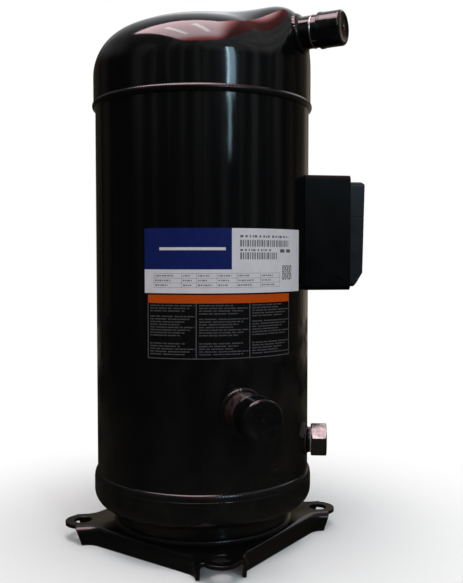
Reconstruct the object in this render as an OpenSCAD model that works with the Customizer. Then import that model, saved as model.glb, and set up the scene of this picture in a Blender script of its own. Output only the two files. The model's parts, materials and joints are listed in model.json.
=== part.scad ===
// Hermetic scroll compressor with its motor, crankshaft and scroll set, in millimetres.
// +Z is up. The origin is the centre of the four foot holes, on the underside of the feet.
// +X points through the terminal box, and the four feet lie on the X and Y axes.

/* [Shell] */
// Outside diameter of the shell tube
shell_od = 235; // [230:1:242]
// Wall of the shell tube
shell_wall = 4; // [3:0.5:5]
// Diameter of the plug welds that hold the lower bearing
plug_weld_d = 8; // [5:0.5:10]
// Depth of the plug weld dimples
plug_weld_depth = 0.8; // [0.4:0.1:1.2]

/* [Base plate] */
// Distance between neighbouring foot holes
foot_spacing = 190; // [182:1:200]
// Diameter of the foot holes
foot_hole_d = 19; // [14:0.5:22]
// Thickness of the pressed plate
plate_t = 4; // [3:0.5:5]
// Width of a foot between its two flanges
foot_w = 50; // [46:1:56]
// Radius of a foot's round tip
foot_tip_r = 19; // [16:0.5:22]
// Depth of the flanges below the feet
flange_drop = 16; // [10:1:20]
// Distance from the centre to a long side of the plate
side_reach = 105; // [102:1:112]
// Radius of the bend from a long side into a foot
side_fillet = 18; // [8:1:24]
// Diameter of the hole in the middle of the plate
plate_hole_d = 130; // [100:1:150]

/* [Bottom cap] */
// Sheet thickness of the bottom cap
pan_wall = 3.3; // [2.5:0.1:4.5]
// Outside diameter of the pan that stands on the plate
pan_od = 195; // [186:1:200]
// Height of the pan up to the start of its shoulder
pan_depth = 18.5; // [12:0.5:26]
// Radius of the shoulder between pan and skirt
skirt_round = 18.5; // [14:0.5:20]
// Height of the skirt that laps over the shell
skirt_lap = 13.5; // [8:0.5:20]
// Corner radius at the foot of the pan
pan_round = 8; // [5:0.5:12]

/* [Top cap] */
// Sheet thickness of the top cap
cap_wall = 4; // [3:0.5:5]
// How far the cap stands out past the shell
cap_step = 2; // [1:0.5:3]
// Radius of the knuckle between wall and crown
cap_knuckle = 52; // [46:1:58]
// Radius of the crown
cap_crown = 214; // [190:2:260]
// Straight wall of the cap below the knuckle
cap_straight = 29; // [22:1:36]
// Half width of the raised shoulder across the discharge tube
hump_w = 60; // [52:1:68]
// Distance over which the shoulder rises out of the crown
hump_run = 90; // [76:1:104]
// Corner radius at the outer end of the raised shoulder
hump_corner = 28; // [22:1:32]
// How far the shoulder's ridge stands above the crown
hump_rise = 1; // [0.2:0.2:3]

/* [Discharge] */
// Direction of the discharge tube around +Z
discharge_angle = -37; // [-50:1:-25]
// Height of the discharge tube below the crown
discharge_drop = 29.5; // [27:0.5:34]
// Outside diameter of the discharge tube
discharge_od = 33; // [31.5:0.5:37]
// Bore of the socket for the discharge pipe
discharge_socket_d = 28.7; // [26:0.1:28.8]
// Length of the discharge tube outside the top cap
discharge_len = 41.5; // [36:0.5:56]

/* [Suction] */
// Direction of the suction tube around +Z
suction_angle = -78; // [-90:1:-66]
// Height of the suction tube
suction_z = 142.5; // [136:0.5:150]
// Outside diameter of the suction tube
suction_od = 39.4; // [38:0.1:43]
// Bore of the socket for the suction pipe
suction_socket_d = 35.1; // [32:0.1:35.4]
// Length of the suction tube outside the shell
suction_len = 48.5; // [40:0.5:60]
// Height of the gas baffle behind the suction opening
baffle_h = 48; // [40:1:54]

/* [Pipe caps] */
// Depth of a pipe's socket
socket_depth = 28; // [20:1:32]
// Wall of a rubber cap
rubber_t = 1.8; // [1.2:0.1:2.6]
// Thickness of a rubber cap's end
rubber_end_t = 3; // [2:0.5:5]
// Length of a rubber cap's skirt on its pipe
rubber_skirt = 22; // [14:1:27]
// How far a rubber cap's ribs stand out
rubber_rib = 0.7; // [0.3:0.1:1.2]

/* [Sight glass] */
// Direction of the sight glass around +Z
glass_angle = -13.5; // [-20:0.5:-8]
// Height of the sight glass
glass_z = 90.5; // [82:0.5:98]
// Width of the hexagon across its flats
hex_af = 35; // [32:1:40]
// Length of the hexagon
hex_len = 17; // [12:0.5:22]
// Diameter of the window
window_d = 22; // [16:1:26]

/* [Terminal box] */
// How far the box's middle lies below the terminals
box_lower = 5; // [0:0.5:10]
// Width of the box
box_w = 116; // [110:1:122]
// Height of the box
box_h = 123.5; // [116:0.5:130]
// Distance from the shell to the open edge of the box
box_depth = 35.5; // [31:0.5:42]
// Moulded wall of the box
box_wall = 3; // [2:0.5:4]
// How far the cover stands out of the box
cover_rise = 17; // [13:0.5:22]
// Wall of the cover
cover_wall = 2.5; // [1.5:0.5:3]
// How far the cover's top lies below the box's top
cover_top_inset = 6.5; // [4:0.5:10]
// Chamfer along the cover's lower edge
cover_chamfer = 15; // [10:1:18]
// Diameter of the cable knock-outs
knockout_d = 22; // [16:1:26]

/* [Motor] */
// Length of the stator and rotor stacks
stack_len = 116.5; // [106:0.5:126]
// Inside diameter of the stator
stator_bore = 122; // [116:1:126]
// Number of stator slots
slot_count = 24; // [18:6:30]
// Air gap between rotor and stator
air_gap = 0.5; // [0.3:0.1:0.8]
// Height of the end windings
winding_h = 27; // [20:1:32]
// Height of the rotor's end rings
end_ring_h = 10; // [6:1:14]
// Height of the upper counterweight
upper_weight_h = 18; // [12:1:22]
// Height of the lower counterweight
lower_weight_h = 14; // [8:1:20]

/* [Crankshaft] */
// Diameter of the main journal
journal_d = 40; // [36:1:44]
// Diameter of the lower journal
lower_journal_d = 28; // [24:1:32]
// Diameter of the eccentric pin
pin_d = 26; // [22:1:28]
// Wall of the plain bearings
bush_t = 3; // [2:0.5:4]
// Length of the main bearing
main_bearing_len = 32; // [26:1:38]
// Height of the lower bearing's underside
lower_bearing_z = 60; // [56:1:64]
// Length of the lower bearing
lower_bearing_len = 28; // [22:1:32]

/* [Scroll set] */
// Pitch of the scroll wraps
wrap_pitch = 24; // [23:0.25:24.5]
// Thickness of the scroll wraps
wrap_t = 4.5; // [4:0.1:5]
// Height of the scroll wraps
wrap_h = 36; // [30:1:44]
// Angle at which a wrap starts, in degrees of its involute
wrap_start = 240; // [220:10:300]
// Angle at which a wrap ends, in degrees of its involute
wrap_end = 1080; // [960:10:1090]
// Flank clearance between the wraps
wrap_gap = 0.4; // [0.3:0.05:0.6]
// Thickness of the orbiting scroll's plate
orbit_plate_t = 12; // [10:1:15]
// Thickness of the fixed scroll's plate
fixed_plate_t = 16; // [14:1:20]
// Depth of the cavity for the orbiting scroll's hub
hub_cavity = 27; // [23:1:33]
// Thickness of the Oldham ring
oldham_t = 8; // [6:0.5:9]
// Axial float of the fixed scroll
float_travel = 0.5; // [0.3:0.1:0.8]
// Travel of the floating seal
seal_travel = 0.8; // [0.4:0.1:1.2]
// Lift of the check valve disc
valve_lift = 4; // [2:0.5:5]
// How far the separator plate's middle rises above its rim
separator_rise = 16; // [14:1:22]
// Sheet thickness of the separator plate
separator_t = 4; // [3:0.5:5]

/* [Clearances] */
// Radial gap of parts that are fixed in each other
fit_gap = 0.1; // [0.05:0.05:0.15]
// Radial gap of running bearings
run_gap = 0.05; // [0.02:0.01:0.08]
// Gap between faces that move past each other
face_gap = 0.3; // [0.2:0.05:0.4]

/* [Hidden] */
$fn = 96;

// Overlap that keeps cuts clean
eps = 1;
shell_r = shell_od / 2;
bore_r = shell_r - shell_wall;
core_r = bore_r - fit_gap;
feet = [0, 90, 180, 270];
foot_r = foot_spacing / sqrt(2);
flange_t = plate_t;
flange_end = foot_r + 7;
flange_slant = 7;

// Heights of the pan and the shell
skirt_r = shell_r + fit_gap + pan_wall;
pan_r = pan_od / 2;
skirt_z = plate_t + pan_depth + skirt_round;
skirt_top = skirt_z + skirt_lap;

// Heights of the motor, the crankshaft and the scroll set, from the bottom up
lower_bearing_top = lower_bearing_z + lower_bearing_len;
washer_t = 2;
shaft_shoulder = lower_bearing_top + washer_t + face_gap;
shaft_bottom = lower_bearing_z - 12;
stator_z = suction_z + baffle_h / 2 + 15;
stator_top = stator_z + stack_len;
tooth_lip = 7;
yoke_w = 21.4;
slot_depth = core_r - stator_bore / 2 - tooth_lip - yoke_w;
rotor_r = stator_bore / 2 - air_gap;
journal_r = journal_d / 2;
lower_journal_r = lower_journal_d / 2;
pin_r = pin_d / 2;
weight_z = stator_top + end_ring_h + 1;
housing_z = weight_z + upper_weight_h + 3;
cavity_z = housing_z + main_bearing_len;
housing_floor = 8;
housing_under = cavity_z - housing_floor;
thrust_z = cavity_z + hub_cavity;
orbit_z = thrust_z + face_gap;
wrap_z = orbit_z + orbit_plate_t;
fixed_z = wrap_z + wrap_h + face_gap;
fixed_top = fixed_z + fixed_plate_t;
shell_top = fixed_top + float_travel + 1.9;
separator_z = shell_top + separator_rise;
cap_z = shell_top + separator_t;

// Scroll wraps: an involute of a circle, and the orbit that carries one wrap inside the other
base_r = wrap_pitch / (2 * PI);
orbit_r = wrap_pitch / 2 - wrap_t - wrap_gap;
wrap_r = base_r * sqrt(1 + pow(wrap_end * PI / 180, 2)) + wrap_t / 2;
wrap_step = 6;

// Radii of the scroll set, from the middle outwards
drive_wall = 4;
drive_r = pin_r + run_gap + drive_wall;
orbit_bush_r = drive_r + run_gap + bush_t;
hub_wall = 6;
hub_r = orbit_bush_r + fit_gap + hub_wall;
orbit_room = 1.5;
cavity_r = hub_r + orbit_r + orbit_room;
thrust_w = 22;
thrust_r = cavity_r + thrust_w;
oldham_room = 1;
oldham_in = thrust_r + orbit_r + oldham_room;
oldham_w = 14;
oldham_out = oldham_in + oldham_w;
oldham_mid = (oldham_in + oldham_out) / 2;
key_w = 10;
key_gap = 0.15;
key_h = 6;
oldham_drop = 4.5;
oldham_z = thrust_z - oldham_t - oldham_drop;
recess_z = oldham_z - face_gap;
recess_r = oldham_out + orbit_r + oldham_room;
wrap_room = 2.5;
ring_in = wrap_r + orbit_r + wrap_room;
orbit_plate_r = ring_in;
bolt_r = 4.5;
sleeve_wall = 2;
sleeve_r = bolt_r + fit_gap + sleeve_wall;
ear_wall = 3;
ear_r = sleeve_r + run_gap + ear_wall;
bolt_circle = core_r - ear_r;
ring_out = bolt_circle - sleeve_r;
bolt_angles = [45, 135, 225, 315];
bolt_head_r = 7.6;
bolt_head_h = 5;
ear_h = 16;
ear_top = fixed_top - bolt_head_h - 1;
sleeve_top = ear_top + float_travel + fit_gap;
port_r = 9;

// Floating seal and its groove in the fixed scroll
boss_rise = 10;
seal_in = 34;
seal_out = 54;
seal_gap = 0.2;
groove_depth = 8;
seal_z = fixed_top + boss_rise - groove_depth + face_gap;
seal_h = separator_z - face_gap - seal_travel - float_travel - seal_z;

// Check valve on the separator plate
valve_hole_r = 15;
valve_r = 18;
valve_t = 2.5;
valve_z = separator_z + separator_t;
cage_wall = 2;
cage_r = valve_r + face_gap + cage_wall;

// Top cap
cap_r = shell_r + cap_step;
cap_tangent = cap_z + cap_straight;
crown_rise = cap_crown - sqrt(pow(cap_crown - cap_knuckle, 2) - pow(cap_r - cap_knuckle, 2));
cap_top = cap_tangent + crown_rise;
ridge_z = cap_top + hump_rise;
cap_sides = 72;
cap_rings = 14;
discharge_z = cap_top - discharge_drop;

// Pipes
discharge_r = discharge_od / 2;
discharge_reach = cap_r + discharge_len;
suction_r = suction_od / 2;
suction_reach = shell_r + suction_len;
passage_step = 2;
weld_leg = 4;

// Sight glass
neck_r = 14;
neck_end = shell_r + 2.5;
gasket_t = 1.5;
nut_start = neck_end + gasket_t;
nut_end = nut_start + hex_len;
lens_t = 4;
lens_recess = 2.5;

// Terminal box
terminal_z = (stator_top + housing_under) / 2;
box_z = terminal_z - box_lower;
box_gap = 3;
box_back = shell_r + box_gap;
box_floor = box_back + box_wall;
box_reach = shell_r + box_depth;
cover_reach = box_reach + cover_rise;
box_low = box_z - box_h / 2;
box_high = box_z + box_h / 2;
box_round = 5;
cover_gap = 0.6;
cover_lap = 8.5;
cover_seat = box_reach - cover_lap;
cover_low = box_low + box_wall + cover_gap;
cover_high = box_high - cover_top_inset;
cover_half = box_w / 2 - box_wall - cover_gap;
post = 7;
cup_r = 23;
cup_face = shell_r;
pin_circle = 10;
pin_count = 3;
terminal_pin_r = 3.2;
bead_r = 5.5;
block_r = 22;
block_t = 11;
block_z = box_back - 2;
stud_r = 3;
stud_edge = 6.75;
stud_offset = box_h / 2 - box_wall - stud_edge;
stud_out = 8;
stud_end = box_floor + stud_out;
nut_af = 10;
nut_t = 5;
earth_side = 19;
earth_y = box_wall + earth_side - box_w / 2;
earth_low = 20.75;
earth_z = box_low + box_wall + earth_low;

// Lower bearing arms, which the plug welds hold
arm_angles = [-57, 33, 123, 213];
arm_w = 16;
arm_z = lower_bearing_z + 2;
arm_h = 18;
plug_z = [arm_z + 3, arm_z + 14];

module tube(outer_r, inner_r, length) {
    difference() {
        cylinder(r = outer_r, h = length);
        translate([0, 0, -eps]) cylinder(r = inner_r, h = length + 2 * eps);
    }
}

// Places children, built along +Z, so that they point outwards at an angle and a height
module outward(angle, height, start = 0) {
    rotate([0, 0, angle]) translate([start, 0, height]) rotate([0, 90, 0]) children();
}

// The shell's outside as a full solid, for fitting what sits on it
module shell_cut(gap) {
    cylinder(r = shell_r + gap, h = shell_top, $fn = 360);
}

module rounded_rectangle(w, h, r) {
    square([w - 2 * r, h], center = true);
    square([w, h - 2 * r], center = true);
    for (x = [-1, 1], y = [-1, 1]) translate([x * (w / 2 - r), y * (h / 2 - r)]) circle(r = r);
}

module hexagon_prism(across_flats, length) {
    cylinder(d = across_flats / cos(30), h = length, $fn = 6);
}

// Outline of the plate without its round tips, drawn inset from the real edge
module plate_sides(inset, foot_end) {
    half = foot_w / 2 - inset;
    reach = side_reach - inset;
    fillet = side_fillet + inset;
    corner = [reach * sqrt(2) - half, half];
    centre = corner + [fillet * (sqrt(2) - 1), fillet];
    rotate(45) square(2 * reach, center = true);
    for (a = feet) rotate(a) {
        translate([0, -half]) square([foot_end, 2 * half]);
        for (m = [0, 1]) mirror([0, m]) difference() {
            polygon([
                corner, [centre[0], half], centre,
                centre - fillet * [1, 1] / sqrt(2)
            ]);
            translate(centre) circle(r = fillet);
        }
    }
}

module base_plate() {
    color("#17181a") {
        difference() {
            linear_extrude(plate_t) {
                plate_sides(0, flange_end);
                for (a = feet) rotate(a) translate([foot_r, 0]) circle(r = foot_tip_r);
            }
            translate([0, 0, -eps]) cylinder(d = plate_hole_d, h = plate_t + 2 * eps);
            for (a = feet) rotate(a) translate([foot_r, 0, -eps])
                cylinder(d = foot_hole_d, h = plate_t + 2 * eps);
        }
        difference() {
            translate([0, 0, -flange_drop]) linear_extrude(flange_drop) difference() {
                plate_sides(0, flange_end);
                plate_sides(flange_t, flange_end + foot_tip_r);
                for (a = feet) rotate(a) translate([foot_r, 0]) circle(r = foot_tip_r);
            }
            for (a = feet) rotate([90, 0, a]) translate([0, 0, -foot_w]) linear_extrude(2 * foot_w)
                polygon([
                    [flange_end, 0], [flange_end + foot_tip_r, 0],
                    [flange_end + foot_tip_r, -flange_drop - eps],
                    [flange_end - flange_slant, -flange_drop - eps]
                ]);
        }
    }
}

// Bead in the corner between the pan and the plate
module base_weld() {
    color("#1c1c1d") rotate_extrude() difference() {
        translate([pan_r - pan_round, plate_t]) square([pan_round + weld_leg / 2, pan_round]);
        translate([pan_r - pan_round, plate_t + pan_round]) circle(r = pan_round);
        translate([pan_r + weld_leg, plate_t + pan_round]) circle(r = pan_round);
        translate([pan_r - pan_round - eps, plate_t]) square([pan_round / 2 + eps, pan_round]);
        translate([0, plate_t + pan_round / 2]) square([pan_r + pan_round, pan_round]);
    }
}

// Profile of the pan: a narrow pot, a round shoulder and a wide skirt
module pan_profile(inset, top) {
    wall_r = pan_r - inset;
    low = plate_t + inset;
    round_r = max(pan_round - inset, 1);
    shoulder_x = skirt_r - skirt_round;
    square_low = skirt_z - (skirt_round - inset);
    translate([0, low]) square([wall_r - round_r, top - low]);
    translate([0, low + round_r]) square([wall_r, top - low - round_r]);
    translate([wall_r - round_r, low + round_r]) circle(r = round_r);
    translate([0, square_low]) square([shoulder_x, top - square_low]);
    translate([shoulder_x, skirt_z]) circle(r = skirt_round - inset);
    translate([0, skirt_z]) square([skirt_r - inset, top - skirt_z]);
}

module bottom_cap() {
    color("#141416") rotate_extrude() difference() {
        intersection() {
            pan_profile(0, skirt_top);
            square([skirt_r + eps, skirt_top]);
        }
        pan_profile(pan_wall, skirt_top + eps);
    }
}

module lower_girth_weld() {
    bead = pan_wall;
    rise = 7.5;
    color("#1b1b1d") rotate_extrude() translate([shell_r + fit_gap / 2, skirt_top]) intersection() {
        square([bead, rise]);
        scale([1, rise / bead]) circle(r = bead);
    }
}

module center_shell() {
    color("#111113") difference() {
        translate([0, 0, skirt_z]) tube(shell_r, bore_r, shell_top - skirt_z);
        outward(suction_angle, suction_z, bore_r / 2)
            cylinder(r = suction_r + fit_gap, h = shell_r);
        outward(glass_angle, glass_z, bore_r / 2) cylinder(d = window_d - 4, h = shell_r);
        outward(0, terminal_z, bore_r / 2) cylinder(r = cup_r + fit_gap, h = shell_r);
        for (a = arm_angles, z = plug_z)
            outward(a, z, shell_r - plug_weld_depth) cylinder(d = plug_weld_d, h = shell_wall);
    }
}

// Bead around the joint of shell, separator plate and top cap
module upper_girth_weld() {
    bead = 4.6;
    color("#1b1b1d") rotate_extrude() difference() {
        translate([shell_r - 1, shell_top + separator_t / 2]) circle(r = bead);
        translate([0, shell_top - 2 * bead]) square([shell_r + fit_gap / 2, 2 * bead]);
        translate([0, shell_top - fit_gap / 2]) square([cap_r + fit_gap / 2, 3 * bead]);
    }
}

// Dished plate that parts the discharge side from the suction side
module separator_plate() {
    slope_out = bore_r - 6;
    slope_in = slope_out - separator_rise;
    color("#8d8f92") rotate_extrude() polygon([
        [cap_r, shell_top], [cap_r, shell_top + separator_t],
        [slope_out, shell_top + separator_t], [slope_in, separator_z + separator_t],
        [valve_hole_r, separator_z + separator_t], [valve_hole_r, separator_z],
        [slope_in - separator_t / 2, separator_z], [slope_out - separator_t / 2, shell_top]
    ]);
}

// Height of the plain dome, crown and knuckle, at a radius
function dome_z(r, inset) =
    r < (cap_r - cap_knuckle) * (cap_crown - inset) / (cap_crown - cap_knuckle)
        ? cap_top - cap_crown + sqrt(pow(cap_crown - inset, 2) - r * r)
        : cap_tangent + sqrt(max(0, pow(cap_knuckle - inset, 2) - pow(r - cap_r + cap_knuckle, 2)));

// Height of the raised shoulder, a flat ridge with a rounded outer corner, at a radius
function shoulder_z(r, inset) =
    ridge_z - hump_corner
        + (r < cap_r - hump_corner
            ? hump_corner - inset
            : sqrt(max(0, pow(hump_corner - inset, 2) - pow(r - cap_r + hump_corner, 2))));

// Share of the shoulder at a point along and across the discharge direction: a bell that fades in
function hump_share(along, across) =
    let (t = min(1, abs(across) / hump_w), f = max(0, min(1, along / hump_run)))
    (1 + cos(180 * t)) / 2 * f * f * (3 - 2 * f);

function cap_surface(r, angle, inset) =
    let (share = hump_share(r * cos(angle), r * sin(angle)))
    dome_z(r, inset) + share * (shoulder_z(r, inset) - dome_z(r, inset));

// Points of the cap's skin: the apex, rings that close up towards the wall, and the lower edge
function cap_skin(inset, low) = concat(
    [[0, 0, cap_top - inset]],
    [for (j = [1 : cap_rings], k = [0 : cap_sides - 1])
        let (a = 360 * k / cap_sides, r = (cap_r - inset) * sin(90 * j / cap_rings))
        [r * cos(a), r * sin(a), cap_surface(r, a - discharge_angle, inset)]],
    [for (k = [0 : cap_sides - 1])
        let (a = 360 * k / cap_sides)
        [(cap_r - inset) * cos(a), (cap_r - inset) * sin(a), low]]
);

// Triangles of one skin whose first point has the index base
function skin_faces(base) = [
    for (k = [0 : cap_sides - 1]) let (n = (k + 1) % cap_sides) each concat(
        [[base, base + 1 + n, base + 1 + k]],
        [for (j = [0 : cap_rings - 1])
            let (upper = base + 1 + j * cap_sides, lower = upper + cap_sides)
            each [[upper + k, upper + n, lower + n], [upper + k, lower + n, lower + k]]]
    )
];

function flipped(faces) = [for (f = faces) [f[2], f[1], f[0]]];

skin_size = 1 + (cap_rings + 1) * cap_sides;
edge_start = skin_size - cap_sides;

module top_cap() {
    color("#111113") difference() {
        polyhedron(
            points = concat(cap_skin(0, cap_z), cap_skin(cap_wall, cap_z)),
            faces = concat(
                skin_faces(0),
                flipped(skin_faces(skin_size)),
                [for (k = [0 : cap_sides - 1])
                    let (n = (k + 1) % cap_sides, out = edge_start, in = skin_size + edge_start)
                    each [[out + k, out + n, in + n], [out + k, in + n, in + k]]]
            )
        );
        outward(discharge_angle, discharge_z, cap_r / 2)
            cylinder(r = discharge_r + fit_gap, h = cap_r);
    }
}

// The cap as a full solid, a little larger, for fitting what is welded to it
module cap_solid(grow) {
    polyhedron(
        points = cap_skin(-grow, cap_z),
        faces = concat(skin_faces(0), [[for (k = [0 : cap_sides - 1]) edge_start + k]])
    );
}

// Weld ring around a pipe, cut to the wall that it sits on
module pipe_weld(pipe_r, wall_r) {
    translate([0, 0, wall_r - 3 * weld_leg]) difference() {
        union() {
            cylinder(r = pipe_r + weld_leg, h = 3 * weld_leg);
            translate([0, 0, 3 * weld_leg])
                cylinder(r1 = pipe_r + weld_leg, r2 = pipe_r + 1, h = weld_leg);
        }
        translate([0, 0, -eps]) cylinder(r = pipe_r + fit_gap, h = 5 * weld_leg);
    }
}

// Pipe stub with a stop shoulder at the bottom of its socket
module pipe_stub(pipe_r, socket_r, start, end) {
    translate([0, 0, start]) difference() {
        cylinder(r = pipe_r, h = end - start);
        translate([0, 0, -eps]) cylinder(r = socket_r - passage_step, h = end - start);
        translate([0, 0, end - start - socket_depth]) cylinder(r = socket_r, h = socket_depth + eps);
    }
}

// Rubber cap that grips the outside of a pipe, with two ribs on its skirt
module pipe_cap(pipe_r, end) {
    inner_r = pipe_r + fit_gap;
    outer_r = inner_r + rubber_t;
    rim = 2;
    translate([0, 0, end - rubber_skirt]) difference() {
        union() {
            cylinder(r = outer_r, h = rubber_skirt + face_gap + rubber_end_t - rim);
            cylinder(r = outer_r - rim, h = rubber_skirt + face_gap + rubber_end_t);
            translate([0, 0, rubber_skirt + face_gap + rubber_end_t - rim]) rotate_extrude()
                translate([outer_r - rim, 0]) circle(r = rim);
            for (i = [0, 1]) translate([0, 0, 2.5 * i])
                cylinder(r = outer_r + rubber_rib, h = 1.2);
        }
        translate([0, 0, -eps]) cylinder(r = inner_r, h = rubber_skirt + face_gap + eps);
    }
}

module discharge_weld() {
    color("#1a1a1c") difference() {
        outward(discharge_angle, discharge_z) pipe_weld(discharge_r, cap_r);
        cap_solid(fit_gap / 2);
    }
}

module discharge_stub() {
    color("#161618") outward(discharge_angle, discharge_z)
        pipe_stub(discharge_r, discharge_socket_d / 2, cap_r - 22, discharge_reach);
}

module discharge_cap() {
    color("#232325") outward(discharge_angle, discharge_z) pipe_cap(discharge_r, discharge_reach);
}

module suction_weld() {
    color("#1a1a1c") difference() {
        outward(suction_angle, suction_z) pipe_weld(suction_r, shell_r);
        shell_cut(fit_gap / 2);
    }
}

module suction_stub() {
    color("#8a4f3c") outward(suction_angle, suction_z)
        pipe_stub(suction_r, suction_socket_d / 2, bore_r, suction_reach);
}

module suction_cap() {
    color("#232325") outward(suction_angle, suction_z) pipe_cap(suction_r, suction_reach);
}

// Curved deflector behind the suction opening, held to the shell by its two turned edges
module suction_baffle() {
    baffle_w = 2 * suction_r + 20;
    baffle_t = 2;
    stand_off = 7;
    color("#8d8f92") rotate([0, 0, suction_angle]) translate([0, 0, suction_z - baffle_h / 2])
        intersection() {
            translate([0, -baffle_w / 2, 0]) cube([shell_r, baffle_w, baffle_h]);
            difference() {
                cylinder(r = core_r, h = baffle_h);
                translate([0, 0, -eps]) cylinder(r = core_r - stand_off - baffle_t, h = baffle_h + 2 * eps);
                translate([0, -baffle_w / 2 + 2 * baffle_t, -eps]) intersection() {
                    cube([shell_r, baffle_w - 4 * baffle_t, baffle_h + 2 * eps]);
                    translate([0, baffle_w / 2 - 2 * baffle_t, 0])
                        tube(shell_r, core_r - stand_off, baffle_h + 2 * eps);
                }
            }
        }
}

module sight_glass_boss() {
    color("#1a1a1c") difference() {
        outward(glass_angle, glass_z, bore_r - eps) difference() {
            union() {
                cylinder(r = neck_r, h = neck_end - bore_r + eps);
                cylinder(r1 = neck_r + 6, r2 = neck_r, h = neck_end - bore_r - 0.5);
            }
            translate([0, 0, -eps]) cylinder(d = window_d - 4, h = shell_r);
        }
        shell_cut(fit_gap / 2);
    }
}

module sight_glass_gasket() {
    color("#c8c4b8") outward(glass_angle, glass_z, neck_end) tube(neck_r, window_d / 2 - 2, gasket_t);
}

// Hexagon with its corners turned off at both ends
module sight_glass_nut() {
    flat_r = hex_af / 2;
    turned = flat_r / cos(30) - flat_r + 0.4;
    slope = turned / 2;
    color("#b59c93") outward(glass_angle, glass_z, nut_start) difference() {
        intersection() {
            rotate([0, 0, 30]) hexagon_prism(hex_af, hex_len);
            rotate_extrude() polygon([
                [0, 0], [flat_r - 0.4, 0], [flat_r - 0.4 + turned, slope],
                [flat_r - 0.4 + turned, hex_len - slope], [flat_r - 0.4, hex_len], [0, hex_len]
            ]);
        }
        translate([0, 0, -eps]) cylinder(d = window_d - 4, h = hex_len + 2 * eps);
        translate([0, 0, hex_len - lens_recess - lens_t]) cylinder(d = window_d, h = hex_len);
    }
}

module sight_glass_lens() {
    color("#bcd0c8") outward(glass_angle, glass_z, nut_end - lens_recess - lens_t)
        cylinder(d = window_d - 2 * fit_gap, h = lens_t);
}

// Places a drawing in the Y and Z directions so that it extrudes along +X
module along_x(start, length) {
    translate([start, 0, box_z]) rotate([90, 0, 90]) linear_extrude(length) children();
}

// Moulded tray that follows the shell behind and is open in front
module terminal_box() {
    inner_w = box_w - 2 * box_wall;
    inner_h = box_h - 2 * box_wall;
    depth = box_reach - box_floor;
    knockout_x = box_floor + 14;
    color("#0e0e0f") {
        difference() {
            along_x(shell_r / 2, box_reach - shell_r / 2) rounded_rectangle(box_w, box_h, box_round);
            along_x(box_floor, depth + eps)
                rounded_rectangle(inner_w, inner_h, box_round - box_wall / 2);
            along_x(shell_r / 2 - eps, box_back - shell_r / 2 + eps)
                rounded_rectangle(inner_w, inner_h, box_round - box_wall / 2);
            translate([0, 0, box_low - eps]) cylinder(r = shell_r + face_gap, h = box_h + 2 * eps);
            outward(0, terminal_z, box_back - eps) cylinder(r = block_r + 5, h = box_wall + 2 * eps);
            for (s = [-1, 1]) outward(0, box_z + s * stud_offset, box_back - eps)
                cylinder(r = stud_r + face_gap, h = box_wall + 2 * eps);
            translate([0, earth_y, 0]) outward(0, earth_z, box_back - eps)
                cylinder(r = stud_r + face_gap, h = box_wall + 2 * eps);
            for (s = [-1, 1]) translate([knockout_x, s * box_w / 2, box_low + box_wall])
                rotate([90, 0, 0]) translate([0, 0, -box_wall / 3])
                    tube(knockout_d / 2, knockout_d / 2 - 1.2, 2 * box_wall / 3);
        }
        for (y = [-1, 1], z = [-1, 1])
            translate([box_floor - eps, y * (inner_w - post) / 2, box_z + z * (inner_h - post) / 2])
                translate([0, -post / 2, -post / 2])
                    cube([cover_seat - face_gap - box_floor + eps, post, post]);
    }
}

// Side view of the cover, inset from its outside
module cover_profile(inset, start) {
    low = cover_low + inset;
    high = cover_high - inset;
    face = cover_reach - inset;
    lean = 2;
    corner = 3;
    run = 0.62 * cover_chamfer;
    slope = norm([run, cover_chamfer]);
    foot = face + inset - lean - run - inset * (slope - run) / cover_chamfer;
    polygon([
        [start, low], [foot, low],
        [face - lean, cover_low + cover_chamfer + inset * (slope - cover_chamfer) / run],
        [face, high - corner], [face - corner, high], [start, high]
    ]);
}

// Cover that drops into the tray, with a chamfered lower edge and a moulded line across it
module terminal_box_cover() {
    line = 1;
    line_depth = 0.4;
    line_z = cover_low + 0.66 * (cover_high - cover_low);
    color("#0c0c0d") difference() {
        intersection() {
            translate([0, cover_half, 0]) rotate([90, 0, 0]) linear_extrude(2 * cover_half)
                cover_profile(0, cover_seat);
            translate([0, 0, (cover_low + cover_high) / 2 - box_z])
                along_x(cover_seat, cover_reach - cover_seat)
                    rounded_rectangle(2 * cover_half, cover_high - cover_low, box_round);
        }
        translate([0, cover_half - cover_wall, 0]) rotate([90, 0, 0])
            linear_extrude(2 * (cover_half - cover_wall)) cover_profile(cover_wall, cover_seat - eps);
        difference() {
            translate([cover_seat - eps, -box_w / 2, line_z]) cube([box_w, box_w, line]);
            translate([0, -cover_half + line_depth, line_z - eps])
                cube([cover_reach - line_depth, 2 * (cover_half - line_depth), line + 2 * eps]);
        }
    }
}

// Foam ring between the shell and the tray
module box_gasket() {
    color("#3a3a3a") difference() {
        outward(0, terminal_z, bore_r - 12) tube(block_r + 12, cup_r + 1.5, box_back - bore_r + 12);
        shell_cut(fit_gap);
    }
}

module box_studs() {
    color("#9a9a96") difference() {
        for (s = [-1, 1]) outward(0, box_z + s * stud_offset, shell_r - 2)
            cylinder(r = stud_r, h = stud_end - shell_r + 2);
        shell_cut(fit_gap / 2);
    }
}

module box_nuts() {
    color("#a8a8a4") for (s = [-1, 1]) outward(0, box_z + s * stud_offset, box_floor)
        difference() {
            hexagon_prism(nut_af, nut_t);
            translate([0, 0, -eps]) cylinder(r = stud_r + run_gap, h = nut_t + 2 * eps);
        }
}

module earth_screw() {
    color("#3f7a45") difference() {
        translate([0, earth_y, 0]) {
            outward(0, earth_z, bore_r - 10) cylinder(r = stud_r, h = box_floor - bore_r + 10);
            outward(0, earth_z, box_floor) hexagon_prism(nut_af, nut_t);
        }
        shell_cut(fit_gap / 2);
    }
}

// Places children at the three terminal pins
module at_pins(start) {
    for (i = [0 : pin_count - 1]) rotate([360 / pin_count * i, 0, 0]) translate([start, 0, pin_circle])
        rotate([0, 90, 0]) children();
}

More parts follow.
